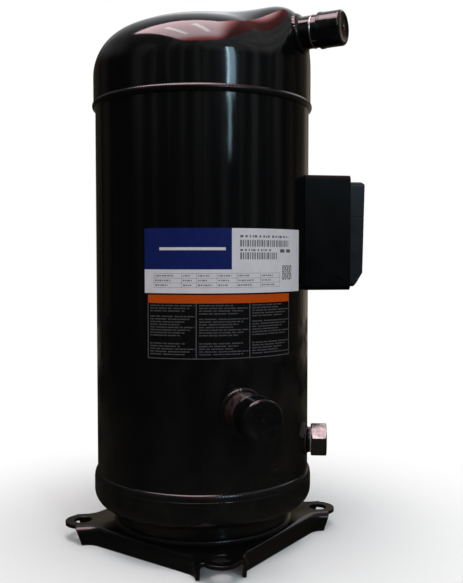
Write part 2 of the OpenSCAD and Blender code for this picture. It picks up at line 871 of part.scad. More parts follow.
module terminal_cup() {
    flange = 4;
    depth = 11;
    wall = 3;
    color("#77797c") difference() {
        outward(0, terminal_z, cup_face - depth) difference() {
            union() {
                cylinder(r = cup_r, h = flange);
                cylinder(r = cup_r - 3, h = depth);
            }
            translate([0, 0, -eps]) cylinder(r = cup_r - 3 - wall, h = depth - wall + eps);
        }
        translate([0, 0, terminal_z]) at_pins(cup_face - depth) cylinder(r = bead_r, h = 2 * depth);
    }
}

module terminal_glass() {
    bead_t = 3;
    color("#2f4a3a") translate([0, 0, terminal_z]) at_pins(cup_face - bead_t)
        tube(bead_r - run_gap, terminal_pin_r + run_gap, bead_t);
}

module terminal_pins() {
    inner_len = 13;
    color("#b08d57") translate([0, 0, terminal_z]) at_pins(cup_face - inner_len)
        cylinder(r = terminal_pin_r, h = block_z + block_t + nut_t + 2 - cup_face + inner_len);
}

// Moulded block on the pins, with a barrier between each pair
module terminal_block() {
    barrier_t = 2.5;
    color("#3b1f1a") difference() {
        union() {
            outward(0, terminal_z, block_z) cylinder(r = block_r, h = block_t);
            for (i = [0 : pin_count - 1]) translate([block_z, 0, terminal_z])
                rotate([360 / pin_count * (i + 0.5), 0, 0]) translate([0, -barrier_t / 2, 0])
                    cube([block_t + nut_t, barrier_t, block_r]);
        }
        translate([0, 0, terminal_z]) at_pins(block_z - eps)
            cylinder(r = terminal_pin_r + fit_gap, h = block_t + 2 * eps);
    }
}

module terminal_nuts() {
    color("#a8a8a4") translate([0, 0, terminal_z]) at_pins(block_z + block_t) difference() {
        hexagon_prism(nut_af, nut_t);
        translate([0, 0, -eps]) cylinder(r = terminal_pin_r + run_gap, h = nut_t + 2 * eps);
    }
}

// One stator slot, or the conductor in it when inset
module slot_outline(inset) {
    slot_in = stator_bore / 2 + tooth_lip + inset;
    slot_out = stator_bore / 2 + tooth_lip + slot_depth - inset;
    slot_w = 0.5 * PI * stator_bore / slot_count - 2 * inset;
    translate([slot_in, -slot_w / 2]) square([slot_out - slot_in - slot_w / 2, slot_w]);
    translate([slot_out - slot_w / 2, 0]) circle(d = slot_w);
}

module stator_core() {
    notch_count = 6;
    mouth = 3;
    color("#6b6d70") translate([0, 0, stator_z]) linear_extrude(stack_len) difference() {
        circle(r = core_r);
        circle(d = stator_bore);
        for (i = [0 : slot_count - 1]) rotate(360 / slot_count * i) {
            slot_outline(0);
            translate([0, -mouth / 2]) square([stator_bore / 2 + tooth_lip + mouth, mouth]);
        }
        for (i = [0 : notch_count - 1]) rotate(360 / notch_count * (i + 0.5))
            translate([core_r, 0]) circle(r = 7);
    }
}

module end_winding() {
    overhang = 2;
    inner = stator_bore / 2 + tooth_lip - overhang / 2;
    outer = stator_bore / 2 + tooth_lip + slot_depth + overhang;
    corner = 9;
    rotate_extrude() translate([(inner + outer) / 2, winding_h / 2])
        rounded_rectangle(outer - inner, winding_h, corner);
}

module stator_winding() {
    liner = 0.4;
    color("#8a4a22") {
        translate([0, 0, stator_z - winding_h - face_gap]) end_winding();
        translate([0, 0, stator_top + face_gap]) end_winding();
        translate([0, 0, stator_z - winding_h / 2]) linear_extrude(stack_len + winding_h)
            for (i = [0 : slot_count - 1]) rotate(360 / slot_count * i) slot_outline(liner);
    }
}

module rotor_core() {
    color("#7b7d80") translate([0, 0, stator_z]) tube(rotor_r, journal_r + run_gap, stack_len);
}

module rotor_end_rings() {
    ring_w = 20;
    color("#b9bcc0") for (z = [stator_z - end_ring_h, stator_top]) translate([0, 0, z])
        tube(rotor_r - 3, rotor_r - 3 - ring_w, end_ring_h);
}

// Shaft with its two journals, the collar, the eccentric pin and the oil galleries
module crankshaft() {
    collar_t = 4;
    oil_r = 5;
    gallery_r = 2.5;
    gallery_x = journal_r / 3;
    pin_top = thrust_z - 1.5;
    color("#9b9ea3") difference() {
        union() {
            translate([0, 0, shaft_bottom])
                cylinder(r = lower_journal_r, h = shaft_shoulder - shaft_bottom + eps);
            translate([0, 0, shaft_shoulder])
                cylinder(r = journal_r, h = cavity_z + face_gap - shaft_shoulder);
            translate([0, 0, cavity_z + face_gap]) cylinder(r = journal_r + 3, h = collar_t);
            translate([0, orbit_r, cavity_z + face_gap])
                cylinder(r = pin_r, h = pin_top - cavity_z - face_gap);
        }
        translate([0, 0, shaft_bottom - eps]) cylinder(r = oil_r, h = stator_z - shaft_bottom);
        translate([0, gallery_x, stator_z - 4 * eps])
            cylinder(r = gallery_r, h = thrust_z - stator_z + 5 * eps);
    }
}

// Part of a ring on one side of the shaft
module half_ring(outer_r, inner_r, length, side) {
    difference() {
        tube(outer_r, inner_r, length);
        translate([-outer_r - eps, side > 0 ? -outer_r - eps : inner_r / 2, -eps])
            cube([2 * (outer_r + eps), outer_r + eps - inner_r / 2, length + 2 * eps]);
    }
}

module upper_counterweight() {
    color("#a3885a") translate([0, 0, stator_top + end_ring_h])
        half_ring(rotor_r - 4, journal_r + run_gap, upper_weight_h, -1);
}

module lower_counterweight() {
    color("#a3885a") translate([0, 0, stator_z - end_ring_h - lower_weight_h])
        half_ring(rotor_r - 4, journal_r + run_gap, lower_weight_h, 1);
}

module oil_pickup() {
    floor_gap = 14;
    length = shaft_bottom - plate_t - pan_wall - floor_gap;
    mouth_r = 4;
    color("#9b9ea3") rotate_extrude() polygon([
        [mouth_r, shaft_bottom - length], [mouth_r + 2.5, shaft_bottom - length],
        [lower_journal_r - 2, shaft_bottom - length / 2], [lower_journal_r - 2, shaft_bottom],
        [lower_journal_r - 5, shaft_bottom], [lower_journal_r - 5, shaft_bottom - length / 2]
    ]);
}

module drive_bush() {
    color("#a7843f") translate([0, orbit_r, cavity_z + 5])
        tube(drive_r, pin_r + run_gap, thrust_z - cavity_z - 7);
}

// Cast housing: bearing hub, cavity, thrust face and the Oldham ring's recess
module main_bearing_housing() {
    seat_r = journal_r + run_gap + bush_t + fit_gap / 2;
    passage_w = 44;
    passage_in = recess_r + 2;
    slot_len = key_w + 4 + 2 * orbit_r + 2;
    color("#595b5e") difference() {
        union() {
            rotate_extrude() polygon([
                [seat_r, housing_z], [seat_r + 11, housing_z], [seat_r + 14, housing_under],
                [core_r, housing_under], [core_r, thrust_z], [recess_r, thrust_z],
                [recess_r, recess_z], [thrust_r, recess_z], [thrust_r, thrust_z],
                [cavity_r, thrust_z], [cavity_r, cavity_z], [seat_r, cavity_z]
            ]);
            intersection() {
                for (a = bolt_angles) rotate([0, 0, a]) translate([bolt_circle, 0, housing_under])
                    cylinder(r = ear_r, h = thrust_z - housing_under);
                translate([0, 0, housing_under]) cylinder(r = core_r, h = thrust_z - housing_under);
            }
        }
        for (a = [0, 180]) rotate([0, 0, a])
            translate([oldham_mid - slot_len / 2, -key_w / 2 - key_gap, recess_z - key_h - 1])
                cube([slot_len, key_w + 2 * key_gap, key_h + 1 + eps]);
        for (a = [90, 270]) rotate([0, 0, a]) translate([passage_in, -passage_w / 2, housing_under - eps])
            cube([shell_r, passage_w, thrust_z - housing_under + 2 * eps]);
        for (a = bolt_angles) rotate([0, 0, a]) translate([bolt_circle, 0, housing_under + housing_floor])
            cylinder(r = bolt_r + run_gap, h = thrust_z);
    }
}

module main_bearing() {
    color("#b08d57") translate([0, 0, housing_z])
        tube(journal_r + run_gap + bush_t, journal_r + run_gap, main_bearing_len);
}

module lower_bearing_housing() {
    seat_r = lower_journal_r + run_gap + bush_t + fit_gap / 2;
    pad_w = 34;
    pad_t = 6;
    color("#595b5e") difference() {
        union() {
            translate([0, 0, lower_bearing_z]) cylinder(r = seat_r + 9, h = lower_bearing_len);
            intersection() {
                for (a = arm_angles) rotate([0, 0, a]) translate([0, -arm_w / 2, arm_z])
                    cube([shell_r, arm_w, arm_h]);
                cylinder(r = core_r, h = shell_top);
            }
            for (a = arm_angles) rotate([0, 0, a]) intersection() {
                translate([0, -pad_w / 2, arm_z]) cube([shell_r, pad_w, arm_h]);
                translate([0, 0, arm_z]) tube(core_r, core_r - pad_t, arm_h);
            }
        }
        translate([0, 0, lower_bearing_z - eps]) cylinder(r = seat_r, h = lower_bearing_len + 2 * eps);
    }
}

module lower_bearing() {
    color("#b08d57") translate([0, 0, lower_bearing_z])
        tube(lower_journal_r + run_gap + bush_t, lower_journal_r + run_gap, lower_bearing_len);
}

module thrust_washer() {
    color("#b7babd") translate([0, 0, lower_bearing_top])
        tube(lower_journal_r + 8, lower_journal_r + fit_gap, washer_t);
}

// A point on an involute whose string starts at a given angle, both in radians
function involute(turn, start) =
    base_r * [
        cos(turn * 180 / PI) + (turn - start) * sin(turn * 180 / PI),
        sin(turn * 180 / PI) - (turn - start) * cos(turn * 180 / PI)
    ];

// A spiral wall between two involutes
module wrap_outline() {
    spread = wrap_t / (2 * base_r);
    turns = [for (a = [wrap_start : wrap_step : wrap_end]) a * PI / 180];
    count = len(turns);
    polygon(concat(
        [for (t = turns) involute(t, -spread)],
        [for (i = [count - 1 : -1 : 0]) involute(turns[i], spread)]
    ));
}

// Plate, spiral wrap, drive hub and the two keyways for the Oldham ring
module orbiting_scroll() {
    hub_len = hub_cavity - 5;
    keyway_w = key_w + 4 * orbit_r + 2;
    keyway_in = oldham_mid - orbit_r - (key_w + 4) / 2 - 1;
    color("#85878a") translate([0, orbit_r, 0]) difference() {
        union() {
            translate([0, 0, orbit_z]) cylinder(r = orbit_plate_r, h = orbit_plate_t);
            translate([0, 0, wrap_z - eps]) linear_extrude(wrap_h + eps) wrap_outline();
            translate([0, 0, orbit_z - hub_len]) cylinder(r = hub_r, h = hub_len + eps);
        }
        translate([0, 0, orbit_z - hub_len - eps])
            cylinder(r = orbit_bush_r + fit_gap / 2, h = hub_len + eps);
        for (a = [90, 270]) rotate([0, 0, a]) translate([keyway_in, -keyway_w / 2, orbit_z - eps])
            cube([orbit_plate_r, keyway_w, key_h + 1 + eps]);
    }
}

module orbiting_bearing() {
    bearing_len = hub_cavity - 7;
    color("#b08d57") translate([0, orbit_r, orbit_z - bearing_len])
        tube(orbit_bush_r, drive_r + run_gap, bearing_len);
}

// Ring with two keys below, for the housing, and two above, for the orbiting scroll
module oldham_ring() {
    key_len = key_w + 4;
    upper_len = orbit_z - oldham_z - oldham_t + key_h;
    color("#9fa2a6") {
        translate([0, 0, oldham_z]) tube(oldham_out, oldham_in, oldham_t);
        for (a = [0, 180]) rotate([0, 0, a])
            translate([oldham_mid - key_len / 2, -key_w / 2, oldham_z - key_h])
                cube([key_len, key_w, key_h + eps]);
        for (a = [90, 270]) rotate([0, 0, a])
            translate([oldham_mid - key_len / 2, -key_w / 2, oldham_z + oldham_t - eps])
                cube([key_len, key_w, upper_len + eps]);
    }
}

// Plate, wrap, outer wall with its suction windows, guide ears and the floating seal's groove
module fixed_scroll() {
    window_w = 46;
    boss_r = seal_out + seal_gap + 6;
    groove_z = fixed_top + boss_rise - groove_depth;
    color("#85878a") difference() {
        union() {
            translate([0, 0, fixed_z]) cylinder(r = ring_out, h = fixed_plate_t);
            translate([0, 0, fixed_top - eps]) cylinder(r = boss_r, h = boss_rise + eps);
            translate([0, 0, wrap_z + face_gap]) {
                tube(ring_out, ring_in, wrap_h + eps);
                rotate([0, 0, 180]) linear_extrude(wrap_h + eps) wrap_outline();
            }
            for (a = bolt_angles) rotate([0, 0, a]) translate([bolt_circle, 0, ear_top - ear_h])
                cylinder(r = ear_r, h = ear_h);
        }
        translate([0, 0, groove_z])
            tube(seal_out + seal_gap, seal_in - seal_gap, groove_depth + eps);
        translate([0, 0, fixed_z - eps]) cylinder(r = port_r, h = fixed_plate_t + boss_rise + 2 * eps);
        for (a = bolt_angles) rotate([0, 0, a]) translate([bolt_circle, 0, ear_top]) {
            translate([0, 0, -ear_h - eps]) cylinder(r = sleeve_r + run_gap, h = ear_h + 2 * eps);
            cylinder(r = bolt_head_r + face_gap, h = fixed_plate_t);
        }
        for (a = [90, 270]) rotate([0, 0, a])
            translate([ring_in - 2, -window_w / 2, wrap_z + face_gap - eps])
                cube([shell_r, window_w, wrap_h * 0.6]);
    }
}

// Socket-head bolts that clamp the sleeves on which the fixed scroll floats
module guide_bolts() {
    key_depth = bolt_head_h / 2;
    color("#3c3e41") for (a = bolt_angles) rotate([0, 0, a]) translate([bolt_circle, 0, 0]) difference() {
        union() {
            translate([0, 0, cavity_z]) cylinder(r = bolt_r, h = sleeve_top - cavity_z + eps);
            translate([0, 0, sleeve_top]) cylinder(r = bolt_head_r, h = bolt_head_h);
        }
        translate([0, 0, sleeve_top + bolt_head_h - key_depth])
            hexagon_prism(bolt_head_r, key_depth + eps);
    }
}

module guide_sleeves() {
    color("#b7babd") for (a = bolt_angles) rotate([0, 0, a]) translate([bolt_circle, 0, thrust_z])
        tube(sleeve_r, bolt_r + fit_gap, sleeve_top - thrust_z);
}

// Seal that floats in the fixed scroll's groove and presses up on the separator plate
module floating_seal() {
    lip_w = 6;
    body_h = groove_depth + 2;
    color("#6f7276") translate([0, 0, seal_z]) {
        tube(seal_out, seal_in, body_h);
        tube(seal_in + lip_w, seal_in, seal_h);
    }
}

// Cage that guides the check valve disc, with windows for the gas
module valve_cage() {
    window_count = 4;
    window_w = 12;
    flange_w = 6;
    inner_h = valve_t + valve_lift + face_gap;
    color("#b7babd") translate([0, 0, valve_z]) difference() {
        union() {
            tube(cage_r + flange_w, cage_r - cage_wall, cage_wall);
            tube(cage_r, cage_r - cage_wall, inner_h + eps);
            translate([0, 0, inner_h]) tube(cage_r, port_r, cage_wall);
        }
        for (i = [0 : window_count - 1]) rotate([0, 0, 360 / window_count * i])
            translate([0, -window_w / 2, cage_wall]) cube([2 * cage_r, window_w, inner_h - cage_wall]);
    }
}

module check_valve_disc() {
    color("#c9ccd0") translate([0, 0, valve_z + face_gap / 2])
        cylinder(r = valve_r, h = valve_t - face_gap / 2);
}

base_plate();
base_weld();
bottom_cap();
lower_girth_weld();
center_shell();
upper_girth_weld();
separator_plate();
top_cap();
discharge_weld();
discharge_stub();
discharge_cap();
suction_weld();
suction_stub();
suction_cap();
suction_baffle();
sight_glass_boss();
sight_glass_gasket();
sight_glass_nut();
sight_glass_lens();
terminal_box();
terminal_box_cover();
box_gasket();
box_studs();
box_nuts();
earth_screw();
terminal_cup();
terminal_glass();
terminal_pins();
terminal_block();
terminal_nuts();
stator_core();
stator_winding();
rotor_core();
rotor_end_rings();
crankshaft();
upper_counterweight();
lower_counterweight();
oil_pickup();
drive_bush();
main_bearing_housing();
main_bearing();
lower_bearing_housing();
lower_bearing();
thrust_washer();
orbiting_scroll();
orbiting_bearing();
oldham_ring();
fixed_scroll();
guide_bolts();
guide_sleeves();
floating_seal();
valve_cage();
check_valve_disc();
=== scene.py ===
"""Dresses the CAD frame of a hermetic scroll compressor with finished surfaces, and sets up its studio."""

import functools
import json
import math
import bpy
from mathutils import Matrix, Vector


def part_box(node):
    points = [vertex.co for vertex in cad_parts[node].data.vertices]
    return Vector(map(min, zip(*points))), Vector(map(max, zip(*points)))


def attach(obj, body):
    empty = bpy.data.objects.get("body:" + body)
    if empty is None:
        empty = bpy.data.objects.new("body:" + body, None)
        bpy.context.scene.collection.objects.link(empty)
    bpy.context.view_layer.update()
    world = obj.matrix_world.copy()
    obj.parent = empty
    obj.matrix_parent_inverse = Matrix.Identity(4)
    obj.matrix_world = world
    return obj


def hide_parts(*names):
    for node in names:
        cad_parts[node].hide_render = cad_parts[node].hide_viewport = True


bl_info = {
    "name": "Scroll compressor",
    "version": (1, 0, 0),
    "blender": (4, 5, 0),
    "location": "3D View > Sidebar > Compressor",
    "description": "Dresses the CAD frame of a hermetic scroll compressor and sets up its studio",
    "category": "Add Mesh",
}

import bmesh
import bpy
from bpy.props import FloatProperty, FloatVectorProperty, PointerProperty
from mathutils import Matrix, Vector

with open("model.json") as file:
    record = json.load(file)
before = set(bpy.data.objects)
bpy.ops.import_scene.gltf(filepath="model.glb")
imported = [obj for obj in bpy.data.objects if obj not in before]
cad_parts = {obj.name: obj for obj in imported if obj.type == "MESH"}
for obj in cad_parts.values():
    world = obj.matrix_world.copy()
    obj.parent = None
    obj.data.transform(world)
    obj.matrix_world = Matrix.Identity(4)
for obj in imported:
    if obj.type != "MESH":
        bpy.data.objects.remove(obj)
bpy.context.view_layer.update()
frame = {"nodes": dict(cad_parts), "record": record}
MM = 0.001
DEGREE = math.radians(1)
QUARTERS = [Matrix.Rotation(math.pi / 2 * quarter, 2) for quarter in range(4)]
MOUNTS = {mount["name"]: mount for mount in frame["record"]["mounts"]}
BOXES = {node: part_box(node) for node in frame["nodes"]}

# Points closer than this are one point, and the shell's round pieces have this many segments.
MERGE = 0.002 * MM
SHELL_SEGMENTS = 224


def length(name, text, millimetres):
    """A size that the user may change, given in millimetres and kept in metres."""
    return FloatProperty(name=name, description=text, default=millimetres * MM, unit="LENGTH", precision=5)


def turn(name, text, degrees):
    """An angle that the user may change, given in degrees and kept in radians."""
    return FloatProperty(name=name, description=text, default=math.radians(degrees), subtype="ANGLE")


def colour(name, text, red, green, blue):
    """A scene-linear colour that the user may change."""
    return FloatVectorProperty(
        name=name, description=text, default=(red, green, blue), subtype="COLOR", min=0.0, max=1.0
    )


def level(name, text, value):
    """A level of light that the user may change."""
    return FloatProperty(name=name, description=text, default=value)


class ShellSizes(bpy.types.PropertyGroup):
    """Sizes of the pressure shell's pressed ends and beads."""

    knuckle: length("Knuckle", "Radius between the top cap's wall and its crown", 52)
    crown: length("Crown", "Radius of the top cap's crown", 214)
    tangent: length("Tangent", "Height where the top cap starts to curve in", 489)
    ridge: length("Ridge", "Height of the raised shoulder behind the discharge pipe", 556.45)
    shoulder: length("Shoulder", "Radius of the raised shoulder's edge", 28)
    shoulder_wide: length("Shoulder width", "Distance to the side over which the shoulder dies out", 60)
    shoulder_long: length("Shoulder length", "Distance from the axis at which the shoulder is full", 90)
    bead: length("Bead", "Radius of the upper seam's weld bead", 4.6)
    skirt_bead: length("Skirt bead", "Width of the fillet weld on top of the bottom cap", 3.3)
    pan_radius: length("Pan radius", "Radius of the pan below the bottom cap's step", 97.5)
    pan_corner: length("Pan corner", "Radius of the pan's lower corner", 8)
    pan_top: length("Pan top", "Height of the step above the pan", 22.5)
    step_radius: length("Step radius", "Radius of the bottom cap's rounded step", 18.5)
    wall: length("Wall", "Thickness of the pressed ends", 3.3)
    shell_wall: length("Shell wall", "Thickness of the rolled shell", 4)
    plug_turn: turn("Plug weld turn", "Angle of the first pair of plug welds, from the terminal box", -57)
    plug_low: length("Plug weld height", "Height of the lower plug welds", 65)
    plug_pitch: length("Plug weld pitch", "Height between the plug welds of a pair", 11)


class PlateSizes(bpy.types.PropertyGroup):
    """Sizes of the pressed base plate."""

    foot_radius: length("Foot radius", "Distance of a foot hole from the axis", 134.35)
    foot_half: length("Foot half width", "Half the width of a foot", 25)
    side_reach: length("Side reach", "Distance of the straight sides from the axis", 105)
    side_fillet: length("Side fillet", "Radius between a foot and a straight side", 18)
    tip: length("Tip", "Radius of a foot's round tip", 19)
    tip_half: length("Tip half width", "Half the width of a foot where its round tip starts", 17.4)
    hole: length("Hole", "Radius of a foot hole", 9.5)
    middle_hole: length("Middle hole", "Radius of the hole under the pan", 65)
    thickness: length("Thickness", "Thickness of the plate", 4)
    drop: length("Drop", "Height of the flange below the plate", 16)
    slant: length("Slant", "How much shorter a flange is at its lower edge", 7)
    bend: length("Bend", "Outer radius of the bend into the flange", 7)
    cut_edge: length("Cut edge", "Rounding of the plate's cut edges", 0.7)


class FittingSizes(bpy.types.PropertyGroup):
    """Sizes of the pipe stubs, their rubber caps and the sight glass."""

    suction_radius: length("Suction pipe", "Outer radius of the suction pipe", 19.7)
    discharge_radius: length("Discharge pipe", "Outer radius of the discharge pipe", 16.5)
    discharge_root: length("Discharge root", "How far inside the shell's side the discharge pipe starts", 22)
    bare_ring: length("Bare ring", "Distance of the discharge pipe's bare ring from its end", 28.5)
    pipe_bead: length("Pipe weld", "Width of the weld round a pipe", 4)
    cap_wall: length("Cap wall", "Thickness of a rubber cap's skirt", 1.3)
    cap_skirt: length("Cap skirt", "Length of a rubber cap over its pipe", 22)
    cap_end: length("Cap end", "Thickness of a rubber cap's end", 3.3)
    cap_rib: length("Cap rib", "Height of the ribs round a cap's lip", 0.5)
    nut_turn: turn("Nut turn", "How far the sight glass nut is screwed round", -15.5)


class LabelSizes(bpy.types.PropertyGroup):
    """Place of the plain label film on the shell."""

    left: turn("Left", "Left edge of the film", -126.4)
    right: turn("Right", "Right edge of the film", -39.0)
    block: turn("Block", "Right edge of the blue block", -83.4)
    panel_left: turn("Panel left", "Left edge of the ruled panel", -124.6)
    panel_right: turn("Panel right", "Right edge of the ruled panel", -48.9)
    top: length("Top", "Upper edge of the film", 322.9)
    block_low: length("Block foot", "Lower edge of the blue block", 282.7)
    pale_low: length("Pale foot", "Lower edge of the pale film", 259.5)
    band_top: length("Band top", "Upper edge of the orange band", 257.9)
    band_low: length("Band foot", "Lower edge of the orange band", 249.7)
    bottom: length("Bottom", "Lower edge of the ruled panel", 195.6)
    film: length("Film", "Thickness of the film", 0.12)


class FinishColours(bpy.types.PropertyGroup):
    """Colours of the finishes, scene-linear."""

    paint: colour("Paint", "Gloss paint of the shell", 0.0032, 0.0032, 0.0035)
    plate_paint: colour("Plate paint", "Paint of the base plate", 0.0028, 0.0028, 0.003)
    copper: colour("Copper", "Bare suction pipe", 0.47, 0.36, 0.33)
    rubber: colour("Rubber", "Caps on the pipes", 0.003, 0.003, 0.0033)
    box: colour("Box", "Moulded terminal box", 0.002, 0.0022, 0.0025)
    cover: colour("Cover", "Moulded cover of the terminal box", 0.0105, 0.0135, 0.0165)
    film: colour("Film", "Pale part of the label film", 0.8, 0.745, 0.775)
    block: colour("Block", "Blue block of the label film", 0.0045, 0.0145, 0.12)
    band: colour("Band", "Orange band of the label film", 0.58, 0.068, 0.0004)
    panel: colour("Panel", "Dark panel of the label film", 0.004, 0.004, 0.0042)


class StudioLight(bpy.types.PropertyGroup):
    """Level of the studio's light."""

    ambient: level("Ambient", "Light from all round on matt surfaces", 0.62)
    window: level("Window", "Power of the tall window light", 3.6)
    ceiling: level("Ceiling", "Power of the ceiling light", 17.0)
    card: level("Card", "Brightness of the dim cards in reflections", 0.03)
    panel: level("Panel", "Brightness of the ceiling card in reflections", 9.2)
    tube: level("Tube", "Brightness of the lamp tubes in reflections", 14.0)


class Shading:
    """The node tree of a material or of the world, with short ways to add to it."""

    def __init__(self, owner):
        owner.use_nodes = True
        self.nodes = owner.node_tree.nodes
        self.links = owner.node_tree.links

    @functools.cached_property
    def coordinates(self):
        """The piece's own coordinates."""
        return self.add("ShaderNodeTexCoord").outputs["Object"]

    def plug(self, socket, value):
        """Links an output to a socket, or sets the socket's own value."""
        if isinstance(value, bpy.types.NodeSocket):
            self.links.new(value, socket)
        else:
            socket.default_value = value

    def add(self, kind, inputs=None, **settings):
        """A node with its settings, and with its inputs by name or number."""
        node = self.nodes.new(kind)
        for name, value in settings.items():
            setattr(node, name, value)
        for name, value in (inputs or {}).items():
            self.plug(node.inputs[name], value)
        return node

    def part(self, vector, axis):
        """One part of a vector."""
        return self.add("ShaderNodeSeparateXYZ", {"Vector": vector}).outputs[axis]

    def stretch(self, scale):
        """The piece's coordinates, stretched along its axes."""
        return self.add("ShaderNodeMapping", {"Vector": self.coordinates, "Scale": scale}).outputs["Vector"]

    def noise(self, millimetres, detail=2.0, place=None, rough=0.5):
        """A cloudy pattern whose patches are about that many millimetres."""
        inputs = {"Vector": place or self.coordinates, "Scale": 1000 / millimetres}
        inputs |= {"Detail": detail, "Roughness": rough}
        return self.add("ShaderNodeTexNoise", inputs).outputs["Fac"]

    def span(self, value, low, high, start=0.3, end=0.7, curve="LINEAR"):
        """A pattern's middle part, spread between two values."""
        inputs = {"Value": value, "From Min": start, "From Max": end, "To Min": low, "To Max": high}
        return self.add("ShaderNodeMapRange", inputs, interpolation_type=curve).outputs["Result"]

    def join(self, operation, first, second):
        """Two patterns put together."""
        return self.add("ShaderNodeMath", {0: first, 1: second}, operation=operation).outputs[0]

    def product(self, first, second):
        """Two patterns multiplied."""
        return self.join("MULTIPLY", first, second)

    def blend(self, fac, first, second):
        """A colour between two, by a pattern."""
        ends = [end if isinstance(end, bpy.types.NodeSocket) else (*end, 1.0) for end in (first, second)]
        return self.add("ShaderNodeMix", {0: fac, 6: ends[0], 7: ends[1]}, data_type="RGBA").outputs[2]

    def seen(self):
        """1 for rays that show what they meet, 0 for rays that only gather light for matt surfaces."""
        path = self.add("ShaderNodeLightPath").outputs
        mirrored = self.join("MAXIMUM", path["Is Glossy Ray"], path["Is Transmission Ray"])
        return self.join("MAXIMUM", path["Is Camera Ray"], mirrored)


class Finish(Shading):
    """A material whose Principled shader is fed by patterns on the piece's own coordinates."""

    def __init__(self, base, roughness, metallic=0.0, **sockets):
        self.material = bpy.data.materials.new("finish")
        super().__init__(self.material)
        self.material.diffuse_color = (*base, 1.0)
        self.shader = self.nodes["Principled BSDF"]
        constants = {"Base_Color": (*base, 1.0), "Roughness": roughness, "Metallic": metallic, **sockets}
        for socket, value in constants.items():
            self.feed(socket.replace("_", " "), value)

    def feed(self, socket, value):
        """Gives one of the shader's sockets a pattern or a value."""
        self.plug(self.shader.inputs[socket], value)

    def tint(self, fac, first, second):
        """Blends the base colour between two, by a pattern."""
        self.feed("Base Color", self.blend(fac, first, second))

    def gloss(self, fac, low, high, start=0.3, end=0.7):
        """Spreads the roughness between two values, by a pattern."""
        self.feed("Roughness", self.span(fac, low, high, start, end))

    def patches(self, millimetres, most, start, end, detail=5.0, rough=0.65):
        """Patches of dust, soil or stain, from 0 up to the most."""
        return self.span(self.noise(millimetres, detail, rough=rough), 0.0, most, start, end)

    def facing_up(self):
        """1 on surfaces that face up, 0 on walls and undersides."""
        normal = self.add("ShaderNodeNewGeometry").outputs["Normal"]
        return self.span(self.part(normal, "Z"), 0.0, 1.0, 0.15, 0.9)

    def near_floor(self):
        """1 at the feet, falling to 0 a third of the way up."""
        return self.span(self.part(self.coordinates, "Z"), 1.0, 0.0, 0.03, 0.19)

    def relief(self, *layers):
        """Bumps of (pattern, height in millimetres), laid over each other."""
        below = {}
        for pattern, height in layers:
            inputs = {"Height": pattern, "Strength": 1.0, "Distance": height * MM, **below}
            below = {"Normal": self.add("ShaderNodeBump", inputs).outputs["Normal"]}
        self.feed("Normal", below["Normal"])


def lighter(base, factor):
    """The same colour, brighter or darker."""
    return tuple(min(1.0, part * factor) for part in base)


def paint_finish(base, smooth, rough, peel):
    """Sprayed black paint with orange peel, changes of gloss, dust on top and soil low down."""
    finish = Finish(base, smooth, Specular_IOR_Level=0.4)
    finish.gloss(finish.noise(34, 4.0), smooth, rough)
    dust = finish.product(finish.facing_up(), finish.patches(5, 0.6, 0.42, 0.75, 6.0, 0.7))
    soil = finish.product(finish.near_floor(), finish.patches(21, 1.0, 0.4, 0.72, 6.0, 0.7))
    soiled = finish.blend(soil, base, (0.0075, 0.0075, 0.0063))
    finish.tint(dust, soiled, (0.03, 0.028, 0.026))
    dents, peeled, dull = finish.noise(46, 1.0), finish.noise(3.2), finish.noise(0.9, 1.0)
    finish.relief((dents, 0.35), (peeled, peel), (dull, 0.006))
    return finish


def gloss_black_paint(colours):
    """Paint of the shell and caps."""
    return paint_finish(colours.paint, 0.05, 0.11, 0.011)


def bead_paint(colours):
    """The same paint where it lies over weld metal."""
    return paint_finish(lighter(colours.paint, 1.1), 0.12, 0.24, 0.05)


def plate_paint(colours):
    """Thinner paint of the base plate, rubbed along scratches."""
    base = colours.plate_paint
    finish = Finish(base, 0.18, Specular_IOR_Level=0.35)
    scratch = finish.span(finish.noise(2.2, 5.0, finish.stretch((1, 14, 1)), 0.6), 0.0, 1.0, 0.66, 0.72)
    rub = finish.product(scratch, finish.span(finish.noise(18), 0.0, 0.8, 0.5, 0.62))
    finish.tint(rub, base, (0.05, 0.046, 0.042))
    finish.gloss(finish.noise(22, 4.0), 0.12, 0.25)
    finish.relief((finish.noise(30, 1.0), 0.3), (finish.noise(2.6), 0.04))
    return finish


def copper_pipe(colours):
    """Drawn copper with fine lines along the tube and brown tarnish."""
    finish = Finish(colours.copper, 0.3, 1.0)
    stain = finish.patches(9, 1.0, 0.4, 0.66)
    finish.tint(stain, colours.copper, lighter(colours.copper, 0.42))
    finish.gloss(stain, 0.24, 0.46, 0.0, 1.0)
    finish.relief((finish.noise(0.7, 2.0, finish.stretch((1, 0.08, 1))), 0.012), (finish.noise(6), 0.05))
    return finish


def metal_finish(base, rough, grain):
    """Machined or plated metal: fine turning marks, clouded gloss and faint stains."""
    finish = Finish(base, rough, 1.0)
    finish.tint(finish.patches(7, 1.0, 0.44, 0.72, rough=0.62), base, lighter(base, 0.6))
    finish.gloss(finish.noise(4, 3.0), rough * 0.8, rough * 1.3)
    finish.relief((finish.noise(0.5, 2.0, finish.stretch((1, 1, 6))), grain))
    return finish


def bare_steel(colours):
    """Turned and ground steel of the shaft and fasteners."""
    return metal_finish((0.46, 0.46, 0.47), 0.3, 0.01)


def plated_steel(colours):
    """Zinc-plated steel of the sight glass nut."""
    return metal_finish((0.142, 0.143, 0.139), 0.3, 0.012)


def bronze(colours):
    """Bearing bronze and brass."""
    return metal_finish((0.52, 0.34, 0.14), 0.34, 0.01)


def aluminium(colours):
    """Cast aluminium."""
    return metal_finish((0.6, 0.61, 0.62), 0.42, 0.03)


def green_screw(colours):
    """Green-dyed zinc of the earth screw."""
    return metal_finish((0.08, 0.32, 0.12), 0.32, 0.012)


